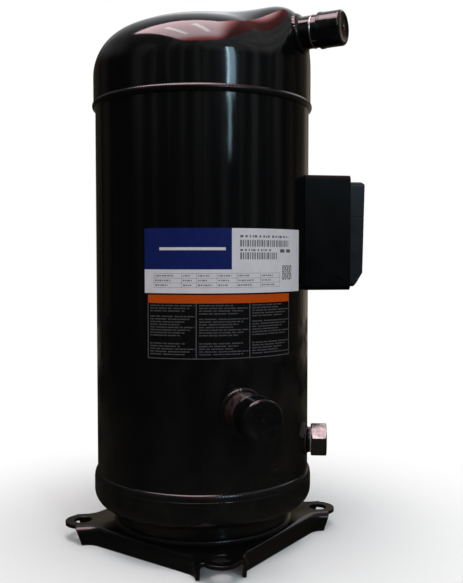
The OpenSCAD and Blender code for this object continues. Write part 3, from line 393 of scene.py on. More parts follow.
def cast_iron(colours):
    """Machined grey iron, dark and slightly grainy."""
    finish = Finish((0.16, 0.16, 0.165), 0.5, 0.85)
    grain = finish.noise(1.2, 4.0)
    finish.tint(grain, (0.11, 0.11, 0.115), (0.22, 0.22, 0.225))
    finish.gloss(grain, 0.42, 0.62)
    finish.relief((grain, 0.05))
    return finish


def lamination(colours):
    """Stacked core plates: fine edges along the axis."""
    finish = Finish((0.2, 0.2, 0.22), 0.45, 0.9)
    sheets = finish.noise(0.8, 1.0, finish.stretch((0.02, 0.02, 1)))
    finish.tint(sheets, (0.1, 0.1, 0.115), (0.26, 0.26, 0.28))
    finish.relief((sheets, 0.06))
    return finish


def winding(colours):
    """Varnished copper wire, wound in many thin turns."""
    finish = Finish((0.34, 0.11, 0.035), 0.32, 0.45)
    wires = finish.noise(1.3, 1.0, finish.stretch((1, 1, 0.15)))
    finish.tint(wires, (0.16, 0.045, 0.015), (0.46, 0.17, 0.06))
    finish.relief((wires, 0.25))
    return finish


def rubber(colours):
    """Moulded rubber of the pipe caps, with a dusty bloom."""
    finish = Finish(colours.rubber, 0.2, Specular_IOR_Level=0.4)
    bloom = finish.patches(6, 0.7, 0.42, 0.7)
    finish.tint(bloom, colours.rubber, lighter(colours.rubber, 1.5))
    finish.gloss(bloom, 0.08, 0.22, 0.0, 0.7)
    finish.relief((finish.noise(0.5), 0.008), (finish.noise(9), 0.1))
    return finish


def plastic_finish(base, rough, grain, shine=0.22):
    """Moulded plastic with a spark-eroded grain."""
    finish = Finish(base, rough, Specular_IOR_Level=shine)
    cloud = finish.noise(16, 4.0)
    finish.tint(cloud, lighter(base, 0.85), lighter(base, 1.3))
    finish.gloss(cloud, rough - 0.05, rough + 0.08)
    finish.relief((finish.noise(0.8), grain), (finish.noise(40, 1.0), 0.2))
    return finish


def box_plastic(colours):
    """Tray of the terminal box."""
    return plastic_finish(colours.box, 0.38, 0.025, 0.08)


def cover_plastic(colours):
    """Cover of the terminal box."""
    return plastic_finish(colours.cover, 0.34, 0.018)


def terminal_plastic(colours):
    """Brown moulding of the terminal block."""
    return plastic_finish((0.06, 0.022, 0.014), 0.4, 0.02)


def sealing_ring(colours):
    """Off-white sealing ring of the sight glass."""
    return plastic_finish((0.42, 0.4, 0.36), 0.5, 0.02)


def foam(colours):
    """Grey foam of the box gasket, with pores of about a millimetre, darker towards their bottoms as painted
    shade.
    """
    finish = Finish((0.045, 0.045, 0.047), 0.9)
    pores = finish.add("ShaderNodeTexVoronoi", {"Vector": finish.coordinates, "Scale": 1000 / 1.2})
    depth = pores.outputs["Distance"]
    # Painted shade: the colour darkens towards the bottom of each pore, the same pattern that sinks the pores
    # in the bump.
    finish.tint(depth, (0.02, 0.02, 0.02), (0.07, 0.07, 0.072))
    finish.relief((depth, 0.3))
    return finish


def window_glass(colours):
    """Clear lens of the sight glass, faintly green, with oil haze."""
    finish = Finish((0.86, 0.93, 0.89), 0.03, IOR=1.5, Transmission_Weight=1.0)
    finish.gloss(finish.noise(5, 4.0), 0.02, 0.1)
    return finish


def bead_glass(colours):
    """Dark fused glass round the terminal pins."""
    finish = Finish((0.03, 0.07, 0.06), 0.1, IOR=1.52)
    finish.tint(finish.noise(2.0, 3.0), (0.02, 0.05, 0.045), (0.06, 0.11, 0.1))
    return finish


def film_finish(base):
    """Printed plastic film with a slight wrinkle and soiling."""
    finish = Finish(base, 0.34, Specular_IOR_Level=0.15)
    finish.tint(finish.patches(11, 0.5, 0.45, 0.75), base, lighter(base, 0.82))
    finish.gloss(finish.noise(6, 3.0), 0.28, 0.44)
    finish.relief((finish.noise(14), 0.05))
    return finish


def film_pale(colours):
    """Pale part of the label."""
    return film_finish(colours.film)


def film_block(colours):
    """Blue block of the label."""
    return film_finish(colours.block)


def film_band(colours):
    """Orange band of the label."""
    return film_finish(colours.band)


def film_panel(colours):
    """Dark panel of the label."""
    return film_finish(colours.panel)


def film_rule(colours):
    """Grey ruled lines, bars and blocks of the label."""
    return film_finish(lighter(colours.film, 0.17))


def film_faint(colours):
    """Faint blank lines on the label's dark panel."""
    return film_finish(lighter(colours.film, 0.105))


FILMS = (film_pale, film_block, film_band, film_panel, film_rule, film_faint)
PALE, BLOCK, BAND, PANEL, RULE, FAINT = range(len(FILMS))


def stock(make):
    """The material of a finish, made once and named for the function that makes it."""
    name = f"{make.__name__}_finish"
    found = bpy.data.materials.get(name)
    if found is None:
        found = make(bpy.context.scene.compressor_colours).material
        found.name = name
    return found


def arc(centre, radius, start, end, count):
    """Points of an arc, angles in degrees."""
    steps = [math.radians(start + (end - start) * i / count) for i in range(count + 1)]
    return [(centre[0] + radius * math.cos(a), centre[1] + radius * math.sin(a)) for a in steps]


def turned(profile, segments=SHELL_SEGMENTS):
    """A bmesh of a profile of (radius, height) points, spun once round its +Z."""
    bm = bmesh.new()
    verts = [bm.verts.new((radius, 0, height)) for radius, height in profile]
    edges = [bm.edges.new(pair) for pair in zip(verts, verts[1:])]
    bmesh.ops.spin(
        bm, geom=verts + edges, axis=(0, 0, 1), cent=(0, 0, 0), angle=math.tau, steps=segments, use_merge=True
    )
    bmesh.ops.remove_doubles(bm, verts=bm.verts, dist=MERGE)
    bmesh.ops.recalc_face_normals(bm, faces=bm.faces)
    return bm


def outward(angle, height, start=0.0):
    """Puts a shape that is built along +Z on a line that leaves the axis at that angle."""
    tilt = Matrix.Rotation(math.pi / 2, 4, "Y")
    return Matrix.Rotation(angle, 4, "Z") @ Matrix.Translation((start, 0, height)) @ tilt


def ripple(angle, pitch_count, seed):
    """Height of a weld bead's ripples at an angle, between about -1 and 1."""
    wander = 0.6 * math.sin(7 * angle + seed) + 0.4 * math.sin(17 * angle + 2.3 * seed)
    return 0.7 * math.sin(pitch_count * angle + 1.5 * wander) + 0.3 * wander


def roughen(bm, pitch_count, height, seed):
    """Works weld ripples into a bead that was spun round +Z."""
    for vert in bm.verts:
        radius = math.hypot(vert.co.x, vert.co.y)
        if radius > 0:
            push = height * ripple(math.atan2(vert.co.y, vert.co.x), pitch_count, seed) / radius
            vert.co.x += vert.co.x * push
            vert.co.y += vert.co.y * push


def stand(name, data):
    """An object of the scene that holds a mesh, a lamp or a camera."""
    item = bpy.data.objects.new(name, data)
    bpy.context.scene.collection.objects.link(item)
    return item


def place(bm, name, body, slot, materials, replaces=(), sharp=35.0, at=None):
    """Makes a bmesh a piece that rides on a CAD body, with its place in its mesh."""
    if at is not None:
        bmesh.ops.transform(bm, matrix=at, verts=bm.verts)
    bm.edges.index_update()
    cut = [edge.index for edge in bm.edges if edge.is_boundary]
    mesh = bpy.data.meshes.new(name)
    bm.to_mesh(mesh)
    bm.free()
    mesh.shade_smooth()
    mesh.set_sharp_from_angle(angle=math.radians(sharp))
    for index in cut:
        mesh.edges[index].use_edge_sharp = True
    for material in materials:
        mesh.materials.append(material)
    piece = stand(name, mesh)
    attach(piece, body)
    if replaces:
        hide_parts(*replaces)
    return piece


def painted(bm, name, make, replaces=(), sharp=35.0, at=None):
    """Makes a bmesh a painted piece of the housing."""
    return place(bm, name, "housing", "black_paint", [stock(make)], replaces, sharp, at)


def walls(piece, thickness):
    """Gives an open sheet its thickness, inwards."""
    solidify = piece.modifiers.new("thickness", "SOLIDIFY")
    solidify.thickness = thickness
    solidify.offset = -1.0
    solidify.use_even_offset = True


def softened(node, width):
    """A copy of a CAD node, merged, with its hard edges rounded."""
    bm = bmesh.new()
    bm.from_mesh(frame["nodes"][node].data)
    bmesh.ops.remove_doubles(bm, verts=bm.verts, dist=MERGE)
    bmesh.ops.dissolve_limit(
        bm, angle_limit=1 * DEGREE, verts=bm.verts, edges=bm.edges, use_dissolve_boundaries=False
    )
    hard = [e for e in bm.edges if len(e.link_faces) == 2 and e.calc_face_angle(0.0) > 40 * DEGREE]
    bmesh.ops.bevel(
        bm, geom=hard, offset=width, segments=2, profile=0.5, affect="EDGES", material=-1,
        clamp_overlap=True,
    )
    return bm


def smoothstep(value):
    """0 below 0, 1 above 1, and a smooth rise between."""
    held = min(1.0, max(0.0, value))
    return held * held * (3 - 2 * held)


def mount_turn(mount):
    """Angle of a mount's axis round the compressor's."""
    axis = MOUNTS[mount]["axis"]
    return math.atan2(axis[1], axis[0])


def cap_height(x, y):
    """Height of the top cap's outer surface over a point of the plan."""
    sizes = bpy.context.scene.compressor_shell
    cap_r = BOXES["top_cap"][1].x
    radius = min(math.hypot(x, y), cap_r)
    knuckle, crown = sizes.knuckle, sizes.crown
    if radius < (cap_r - knuckle) * crown / (crown - knuckle):
        sunk = math.sqrt((crown - knuckle) ** 2 - (cap_r - knuckle) ** 2)
        dome = sizes.tangent - sunk + math.sqrt(crown**2 - radius**2)
    else:
        dome = sizes.tangent + math.sqrt(max(0.0, knuckle**2 - (radius - cap_r + knuckle) ** 2))
    past = max(0.0, radius - cap_r + sizes.shoulder)
    shoulder = sizes.ridge - sizes.shoulder + math.sqrt(max(0.0, sizes.shoulder**2 - past**2))
    angle = mount_turn("discharge_socket")
    along = x * math.cos(angle) + y * math.sin(angle)
    across = -x * math.sin(angle) + y * math.cos(angle)
    share = (1 + math.cos(math.pi * min(1.0, abs(across) / sizes.shoulder_wide))) / 2
    return dome + share * smoothstep(along / sizes.shoulder_long) * (shoulder - dome)


def cap_side(side, height):
    """Distance along the discharge pipe at which the top cap's surface lies, beside and above its axis."""
    angle = mount_turn("discharge_socket")
    near, far = 30 * MM, math.sqrt(max(0.0, BOXES["top_cap"][1].x ** 2 - side**2))
    for _ in range(30):
        middle = (near + far) / 2
        x = middle * math.cos(angle) - side * math.sin(angle)
        y = middle * math.sin(angle) + side * math.cos(angle)
        near, far = (middle, far) if cap_height(x, y) > height else (near, middle)
    return near


class COMPRESSOR_OT_top_cap(bpy.types.Operator):
    """Makes the deep-drawn top cap with its raised shoulder"""

    bl_idname = "compressor.top_cap"
    bl_label = "Top cap"

    def execute(self, context):
        low, high = BOXES["top_cap"]
        rings = 64
        bm = turned([(high.x * math.sin(math.pi / 2 * ring / rings), 0.0) for ring in range(rings + 1)])
        for vert in bm.verts:
            vert.co.z = cap_height(vert.co.x, vert.co.y)
        rim = [edge for edge in bm.edges if edge.is_boundary]
        for made in bmesh.ops.extrude_edge_only(bm, edges=rim)["geom"]:
            if isinstance(made, bmesh.types.BMVert):
                made.co.z = low.z
        bmesh.ops.recalc_face_normals(bm, faces=bm.faces)
        if max(bm.verts, key=lambda v: v.co.z).link_faces[0].normal.z < 0:
            bmesh.ops.reverse_faces(bm, faces=bm.faces)
        piece = painted(bm, "domed_top", gloss_black_paint, ["top_cap"], 60)
        walls(piece, context.scene.compressor_shell.wall)
        return {"FINISHED"}


def pan_profile(sizes):
    """Outline of the bottom cap: pan, step and skirt outside, and the same a wall further in."""
    low, high = BOXES["bottom_cap"]
    skirt_r, top, base, wall = high.x, high.z, low.z, sizes.wall
    step = (skirt_r - sizes.step_radius, sizes.pan_top + sizes.step_radius)
    corner = (sizes.pan_radius - sizes.pan_corner, base + sizes.pan_corner)
    bend, edge = 3 * MM, 1 * MM
    profile = [(0.0, base)]
    profile += arc(corner, sizes.pan_corner, -90, 0, 10)
    profile += arc((sizes.pan_radius + bend, sizes.pan_top - bend), bend, 180, 90, 8)
    profile += arc(step, sizes.step_radius, -88, 0, 24)
    profile += arc((skirt_r - edge, top - edge), edge, 0, 90, 5)
    profile += [(skirt_r - wall, top), (skirt_r - wall, step[1])]
    profile += arc(step, sizes.step_radius - wall, 0, -88, 20)
    profile += [(sizes.pan_radius - wall, sizes.pan_top + wall), (sizes.pan_radius - wall, corner[1])]
    profile += arc(corner, sizes.pan_corner - wall, 0, -90, 8)
    return profile + [(0.0, base + wall)]


class COMPRESSOR_OT_shell(bpy.types.Operator):
    """Makes the rolled shell, its plug welds and the pressed bottom cap"""

    bl_idname = "compressor.shell"
    bl_label = "Shell and bottom cap"

    def execute(self, context):
        sizes = context.scene.compressor_shell
        low, high = BOXES["center_shell"]
        inner = high.x - sizes.shell_wall
        wall = [(inner, low.z), (high.x, low.z), (high.x, high.z), (inner, high.z), (inner, low.z)]
        painted(turned(wall), "rolled_shell", gloss_black_paint, ["center_shell"])
        painted(turned(pan_profile(sizes)), "pressed_pan", gloss_black_paint, ["bottom_cap"], 50)
        dimple = [(4.4, -0.3), (4.2, 0.06), (3.6, 0.16), (2.8, 0.1), (1.8, 0.03), (0.8, 0.02), (0, 0.02)]
        for index in range(4):
            angle = sizes.plug_turn + math.pi / 2 * index
            for row in range(2):
                bm = turned([(r * MM, z * MM) for r, z in dimple], 28)
                roughen(bm, 5, 0.12 * MM, index + 4 * row)
                at = outward(angle, sizes.plug_low + sizes.plug_pitch * row, high.x)
                painted(bm, f"plug_weld_{index}_{row}", bead_paint, sharp=80, at=at)
        return {"FINISHED"}


def seam_bead(profile, segments, ripples, height, seed, name, node):
    """A rippled weld bead round the shell, of an outline that is closed here."""
    bm = turned([*profile, profile[0]], segments)
    roughen(bm, ripples, height, seed)
    painted(bm, name, bead_paint, [node], 70)


class COMPRESSOR_OT_seam_welds(bpy.types.Operator):
    """Lays the weld beads round the shell"""

    bl_idname = "compressor.seam_welds"
    bl_label = "Seam welds"

    def execute(self, context):
        sizes = context.scene.compressor_shell
        shell_r, shell_top = BOXES["center_shell"][1].x, BOXES["center_shell"][1].z
        root, middle = shell_r - 0.6 * MM, shell_top + 2 * MM
        profile = [(root, middle - sizes.bead * 0.9)]
        profile += arc((shell_r - 1 * MM, middle), sizes.bead - 0.25 * MM, -64, 56, 12)
        profile += [(root, middle + sizes.bead * 0.75)]
        seam_bead(profile, 720, 236, 0.24 * MM, 1.0, "top_seam_bead", "upper_girth_weld")
        size, skirt_top = sizes.skirt_bead, BOXES["bottom_cap"][1].z
        root, foot = shell_r - 0.4 * MM, skirt_top - 0.4 * MM
        rise = (BOXES["lower_girth_weld"][1].z - skirt_top) / size
        profile = [(root, foot), (shell_r + size * 0.95, foot)]
        profile += [(x, skirt_top + z * rise) for x, z in arc((shell_r, 0.0), size * 0.93, 4, 84, 10)]
        profile += [(root, skirt_top + size * rise * 0.95)]
        seam_bead(profile, 720, 231, 0.17 * MM, 2.0, "skirt_seam_bead", "lower_girth_weld")
        low, high = BOXES["base_weld"]
        root = sizes.pan_radius - 3 * MM
        profile = [(root, low.z), (high.x, low.z + 0.1 * MM)]
        profile += arc((high.x - 0.4 * MM, high.z + 0.5 * MM), 2.6 * MM, -92, -168, 7)
        profile += [(root, high.z)]
        seam_bead(profile, 480, 150, 0.2 * MM, 3.0, "pan_seam_bead", "base_weld")
        return {"FINISHED"}


def plate_quarter(sizes):
    """Outline of one foot's round tip, and of the bent edge from it to the next foot's."""
    half, fillet, root = sizes.foot_half, sizes.side_fillet, math.sqrt(2)
    start = sizes.foot_radius + math.sqrt(sizes.tip**2 - sizes.tip_half**2)
    centre = (sizes.side_reach * root - half + fillet * (root - 1), half + fillet)
    side = [(start, half)] + arc(centre, fillet, -90, -135, 10)
    side += [(y, x) for x, y in reversed(side)]
    swing = math.degrees(math.asin(sizes.tip_half / sizes.tip))
    return arc((sizes.foot_radius, 0.0), sizes.tip, -swing, swing, 20), side


def bend_flanges(bm, chains, sizes):
    """Folds the plate's straight sides down, shorter at their lower edge, and rounds the bends."""
    bent = []
    for chain in chains:
        edges = [bm.edges.get(pair) for pair in zip(chain, chain[1:])]
        made = bmesh.ops.extrude_edge_only(bm, edges=edges)["geom"]
        lower = [v for v in made if isinstance(v, bmesh.types.BMVert)]
        ends = [
            (v, (near.co - v.co).normalized())
            for end, near in ((chain[0], chain[1]), (chain[-1], chain[-2]))
            for v in lower
            if (v.co - end.co).length < MERGE
        ]
        bmesh.ops.translate(bm, verts=lower, vec=(0, 0, -sizes.drop - sizes.thickness))
        for vert, inwards in ends:
            vert.co += inwards * sizes.slant
        bent += edges
    bmesh.ops.bevel(
        bm, geom=bent, offset=sizes.bend, segments=6, profile=0.5, affect="EDGES", material=-1,
        clamp_overlap=False,
    )


def pierce_plate(bm, sizes):
    """Cuts the hole under the pan and the four foot holes in the plate's flat."""
    flat = max(bm.faces, key=lambda f: len(f.verts))
    rim = list(flat.edges)
    bmesh.ops.delete(bm, geom=[flat], context="FACES_ONLY")
    holes = [(Vector((0.0, 0.0)), sizes.middle_hole, 72)]
    holes += [(quarter @ Vector((sizes.foot_radius, 0.0)), sizes.hole, 40) for quarter in QUARTERS]
    for spot, radius, count in holes:
        matrix = Matrix.Translation((spot.x, spot.y, sizes.thickness))
        ring = bmesh.ops.create_circle(bm, cap_ends=False, segments=count, radius=radius, matrix=matrix)
        rim += dict.fromkeys(edge for vert in ring["verts"] for edge in vert.link_edges)
    bmesh.ops.triangle_fill(bm, use_beauty=True, edges=rim)
    bmesh.ops.recalc_face_normals(bm, faces=bm.faces)
    flat = max(bm.faces, key=lambda f: f.calc_area() if abs(f.normal.z) > 0.99 else 0)
    if flat.normal.z < 0:
        bmesh.ops.reverse_faces(bm, faces=bm.faces)


class COMPRESSOR_OT_base_plate(bpy.types.Operator):
    """Presses the base plate with its four feet and bent flanges"""

    bl_idname = "compressor.base_plate"
    bl_label = "Base plate"

    def execute(self, context):
        sizes = context.scene.compressor_plate
        tip, side = plate_quarter(sizes)
        bm = bmesh.new()
        outline, chains = [], []
        for quarter in QUARTERS:
            points = [quarter @ Vector(point) for point in tip + side]
            verts = [bm.verts.new((p.x, p.y, sizes.thickness)) for p in points]
            chains.append(verts[len(tip):])
            outline += verts
        bm.faces.new(outline)
        bend_flanges(bm, chains, sizes)
        pierce_plate(bm, sizes)
        piece = painted(bm, "pressed_base", plate_paint, ["base_plate"], 50)
        walls(piece, sizes.thickness)
        rounding = piece.modifiers.new("cut edges", "BEVEL")
        rounding.width = sizes.cut_edge
        rounding.segments = 2
        rounding.limit_method = "ANGLE"
        rounding.angle_limit = math.radians(60)
        return {"FINISHED"}


class Pipe:
    """A pipe stub: its outer radius, and its place and socket from its mount in the record."""

    def __init__(self, mount, radius):
        x, y, self.height = MOUNTS[mount]["pos_m"]
        dims = MOUNTS[mount]["dims"]
        self.radius = radius
        self.socket = dims["r_mm"] * MM
        self.depth = dims["length_mm"] * MM
        self.end = math.hypot(x, y) + self.depth / 2
        self.at = outward(mount_turn(mount), self.height)


def pipe_weld(pipe, bead, surface, name, node, seed):
    """A fillet weld round a pipe, laid on the surface that the pipe leaves."""
    radius, root, foot = pipe.radius, pipe.radius - 0.5 * MM, -1.5 * MM
    profile = [(root, foot), (radius + bead, foot), (radius + bead, 0.2 * MM)]
    profile += arc((radius + 0.35 * bead, 0.25 * bead), 0.68 * bead, -15, 112, 9)
    profile += [(root, bead), profile[0]]
    bm = turned(profile, 220)
    roughen(bm, round(math.tau * (radius + bead) / (3.2 * MM)), 0.22 * MM, seed)
    for vert in bm.verts:
        vert.co.z += surface(vert.co.y, pipe.height - vert.co.x)
    painted(bm, name, bead_paint, [node], 70, pipe.at)


def pipe_cap(pipe, name, body, node):
    """A moulded rubber cap pushed over a pipe's end."""
    sizes = bpy.context.scene.compressor_fittings
    fit, lip, corner, inset = 0.1 * MM, 0.6 * MM, 3 * MM, 0.15 * MM
    inner = pipe.radius + fit
    outer = inner + sizes.cap_wall
    start, top = pipe.end - sizes.cap_skirt, pipe.end + sizes.cap_end
    profile = [(0.0, pipe.end + fit), (inner, pipe.end + fit), (inner, start + lip)]
    profile += arc((inner + lip, start + lip), lip, 180, 270, 4)
    for rib in (0.9 * MM, 3.2 * MM):
        profile += arc((outer, start + rib), sizes.cap_rib, -90, 90, 6)
    profile += [(outer - inset, start + 12 * MM)]
    profile += arc((outer - corner, top - corner), corner - inset, 0, 84, 12)
    profile += [(outer - 4.2 * MM, top - 0.25 * MM), (outer - 5 * MM, top - 0.6 * MM)]
    profile += [(r * MM, top - z * MM) for r, z in ((3.2, 0.5), (1.6, 0.35), (1.1, 0.05), (0.0, 0.0))]
    place(turned(profile, 96), name, body, "rubber", [stock(rubber)], [node], 40, pipe.at)


def pipe_stub(pipe, start, name, slot, materials, node, ring=None):
    """A pipe stub with its brazing socket; ring is the distance of a thin bare ring, if there is one."""
    radius, end, floor = pipe.radius, pipe.end, pipe.end - pipe.depth
    passage, rim, mouth, half = pipe.socket - 2 * MM, 0.5 * MM, 0.4 * MM, 0.9 * MM
    profile = [(passage, start), (radius, start)]
    if ring is not None:
        profile += [(radius, ring - half)] + arc((radius - 0.35 * MM, ring), 0.95 * MM, -68, 68, 6)
        profile += [(radius, ring + half)]
    profile += arc((radius - rim, end - rim), rim, 0, 90, 4)
    profile += arc((pipe.socket + mouth, end - mouth), mouth, 90, 180, 4)
    profile += [(pipe.socket, floor), (passage, floor - 1.2 * MM), (passage, start)]
    bm = turned(profile, 128)
    if ring is not None:
        for face in bm.faces:
            middle = face.calc_center_median()
            if abs(middle.z - ring) < 0.86 * MM and math.hypot(middle.x, middle.y) > radius - 0.2 * MM:
                face.material_index = 1
    place(bm, name, "housing", slot, materials, [node], 40, pipe.at)


class COMPRESSOR_OT_discharge_pipe(bpy.types.Operator):
    """Makes the discharge pipe, its weld and its rubber cap"""

    bl_idname = "compressor.discharge_pipe"
    bl_label = "Discharge pipe"

    def execute(self, context):
        sizes = context.scene.compressor_fittings
        pipe = Pipe("discharge_socket", sizes.discharge_radius)
        start, ring = BOXES["top_cap"][1].x - sizes.discharge_root, pipe.end - sizes.bare_ring
        materials = [stock(gloss_black_paint), stock(bare_steel)]
        pipe_stub(pipe, start, "discharge_pipe", "black_paint", materials, "discharge_stub", ring)
        pipe_weld(pipe, sizes.pipe_bead, cap_side, "discharge_bead", "discharge_weld", 4.0)
        pipe_cap(pipe, "discharge_rubber_cap", "discharge_plug", "discharge_cap")
        return {"FINISHED"}


class COMPRESSOR_OT_suction_pipe(bpy.types.Operator):
    """Makes the copper suction pipe, its weld and its rubber cap"""

    bl_idname = "compressor.suction_pipe"
    bl_label = "Suction pipe"

    def execute(self, context):
        sizes = context.scene.compressor_fittings
        pipe = Pipe("suction_socket", sizes.suction_radius)
        shell_r = BOXES["center_shell"][1].x
        start = shell_r - context.scene.compressor_shell.shell_wall

        def shell_side(side, height):
            return math.sqrt(shell_r**2 - side**2)

        pipe_stub(pipe, start, "suction_pipe", "copper", [stock(copper_pipe)], "suction_stub")
        pipe_weld(pipe, sizes.pipe_bead, shell_side, "suction_bead", "suction_weld", 5.0)
        pipe_cap(pipe, "suction_rubber_cap", "suction_plug", "suction_cap")
        return {"FINISHED"}


class COMPRESSOR_OT_sight_glass(bpy.types.Operator):
    """Finishes the oil sight glass"""

    bl_idname = "compressor.sight_glass"
    bl_label = "Sight glass"

    def execute(self, context):
        for node, width, slot, make in (
            ("sight_glass_boss", 0.6, "black_paint", bead_paint),
            ("sight_glass_nut", 0.5, "plated_steel", plated_steel),
            ("sight_glass_gasket", 0.2, "sealing_ring", sealing_ring),
            ("sight_glass_lens", 0.4, "glass", window_glass),
        ):
            bm = softened(node, width * MM)
            if node == "sight_glass_nut":
                middle = sum(BOXES[node], Vector()) / 2
                axis = Vector((middle.x, middle.y, 0))
                spin = Matrix.Rotation(context.scene.compressor_fittings.nut_turn, 3, axis)
                bmesh.ops.rotate(bm, cent=middle, matrix=spin, verts=bm.verts)
            place(bm, f"{node}_finished", "housing", slot, [stock(make)], [node], 20)
        return {"FINISHED"}


class COMPRESSOR_OT_terminal_box(bpy.types.Operator):
    """Moulds the terminal box and its cover"""

    bl_idname = "compressor.terminal_box"
    bl_label = "Terminal box"

    def execute(self, context):
        for node, name, body, make in (
            ("terminal_box", "box_tray", "housing", box_plastic),
            ("terminal_box_cover", "box_lid_moulding", "box_lid", cover_plastic),
        ):
            place(softened(node, 0.5 * MM), name, body, "black_plastic", [stock(make)], [node], 20)
        return {"FINISHED"}


def film_patch(bm, radius, left, right, low, high, index):
    """A patch of film bent round the shell, given its material's number."""
    edge = [bm.verts.new((radius * math.cos(left), radius * math.sin(left), z)) for z in (low, high)]
    geometry = edge + [bm.edges.new(edge)]
    before = set(bm.faces)
    swing = right - left
    steps = max(1, round(math.degrees(swing) / 2))
    bmesh.ops.spin(
        bm, geom=geometry, axis=(0, 0, 1), cent=(0, 0, 0), angle=swing, steps=steps, use_merge=False
    )
    for face in set(bm.faces) - before:
        face.normal_update()
        face.material_index = index
        middle = face.calc_center_median()
        if face.normal.x * middle.x + face.normal.y * middle.y < 0:
            face.normal_flip()


def dashes(left, right, low, high, pitch, index, layer, fill=0.4, seed=0):
    """A row of plain blocks of uneven width: pitch apart on average, filled by a share or more."""
    start, spot = left, seed
    while start < right:
        spot += 1
        step = pitch * (0.6 + 0.27 * (spot * 7 % 4))
        yield start, min(start + step * (fill + 0.09 * (spot * 5 % 3)), right), low, high, index, layer
        start += step


def label_blocks(sizes):
    """The label's films, colour blocks and stripe: left, right, foot, head, film and layer of each."""
    yield sizes.left, sizes.right, sizes.pale_low, sizes.top, PALE, 0
    left, right = sizes.panel_left - 0.8 * DEGREE, sizes.right - 0.6 * DEGREE
    yield left, right, sizes.bottom - 1 * MM, sizes.band_top + 0.6 * MM, PANEL, 0
    yield sizes.left, sizes.block, sizes.block_low, sizes.top, BLOCK, 1
    yield sizes.panel_left, sizes.panel_right, sizes.band_low, sizes.band_top, BAND, 1
    middle, half = (sizes.block_low + sizes.top) / 2, 1.4 * MM
    yield sizes.left + 8 * DEGREE, sizes.block - 3 * DEGREE, middle - half, middle + half, PALE, 2


def label_bars(sizes):
    """Rows of plain bars and blocks beside the blue block: widths in degrees, heights from the top."""
    left, top = sizes.block + 4.2 * DEGREE, sizes.top
    for wide, head, foot, pitch in (
        (29.7, 6.7, 8.9, 1.9),
        (29.7, 11.3, 17.9, 0.95),
        (17.3, 20.4, 22.2, 1.7),
        (21.2, 23.6, 30.4, 0.95),
    ):
        right = left + wide * DEGREE
        yield from dashes(left, right, top - foot * MM, top - head * MM, pitch * DEGREE, RULE, 1)
    for start in (left + 23.4 * DEGREE, left + 28 * DEGREE):
        yield start, start + 3.2 * DEGREE, top - 23.6 * MM, top - 20.2 * MM, RULE, 1
    left = sizes.right - 15.1 * DEGREE
    for row in range(8):
        low = sizes.pale_low + (12.4 + 1.85 * row) * MM
        yield from dashes(left, left + 7.4 * DEGREE, low, low + 1.6 * MM, 1.3 * DEGREE, RULE, 1, 0.5, row)


def label_table(sizes):
    """A ruled table of blank entries under the blue block."""
    left, right = sizes.left + 5.1 * DEGREE, sizes.right - 17.1 * DEGREE
    low, high = sizes.pale_low + 5.6 * MM, sizes.pale_low + 19.4 * MM
    rows, rule, half = 3, 0.12 * MM, 0.7 * MM
    for row in range(rows + 1):
        height = low + (high - low) * row / rows
        yield left, right, height - rule, height + rule, RULE, 1
    edges = [left + (right - left) * share for share in (0.0, 0.213, 0.322, 0.47, 0.62, 0.813, 1.0)]
    for edge in edges:
        yield edge - 0.06 * DEGREE, edge + 0.06 * DEGREE, low, high, RULE, 1
    for row in range(rows):
        height = low + (high - low) * (row + 0.5) / rows
        for column, edge in enumerate(edges[:-1]):
            start = edge + 0.7 * DEGREE
            stop = start + (edges[column + 1] - edge) * (0.45 + 0.1 * ((row + column) % 3))
            yield from dashes(start, stop, height - half, height + half, 0.9 * DEGREE, RULE, 1, 0.5, row)


def label_panel(sizes):
    """The dark panel: its frame and three columns of faint blank lines."""
    wide, line, half = sizes.panel_right - sizes.panel_left, 0.3 * MM, 0.55 * MM
    edges = [sizes.panel_left + wide * share for share in (0.0, 0.318, 0.666, 1.0)]
    for edge in edges:
        yield edge - 0.16 * DEGREE, edge + 0.16 * DEGREE, sizes.bottom, sizes.band_low, RULE, 1
    yield edges[0], edges[-1], sizes.bottom - line, sizes.bottom + line, RULE, 2
    for column, left in enumerate(edges[:-1]):
        wide = edges[column + 1] - left
        for row in range(19):
            if row not in (3 + column, 12, 13):
                height = sizes.band_low - (2.2 + 2.65 * row) * MM
                reach = 0.97 - 0.1 * ((row * 5 + column * 3) % 4)
                start, stop = left + 0.05 * wide, left + reach * wide
                low, high = height - half, height + half
                yield from dashes(start, stop, low, high, 2.3 * DEGREE, FAINT, 2, 0.74, row)


class COMPRESSOR_OT_label(bpy.types.Operator):
    """Lays the plain label film on the shell: colour blocks, blank lines and bars that say nothing"""

    bl_idname = "compressor.label"
    bl_label = "Label film"

    def execute(self, context):
        sizes = context.scene.compressor_label
        base = BOXES["center_shell"][1].x + sizes.film + 0.03 * MM
        bm = bmesh.new()
        for part in (label_blocks, label_bars, label_table, label_panel):
            for left, right, low, high, index, layer in part(sizes):
                film_patch(bm, base + 0.05 * MM * layer, left, right, low, high, index)
        piece = place(bm, "label_film", "housing", "label_film", [stock(make) for make in FILMS])
        walls(piece, sizes.film)
        return {"FINISHED"}


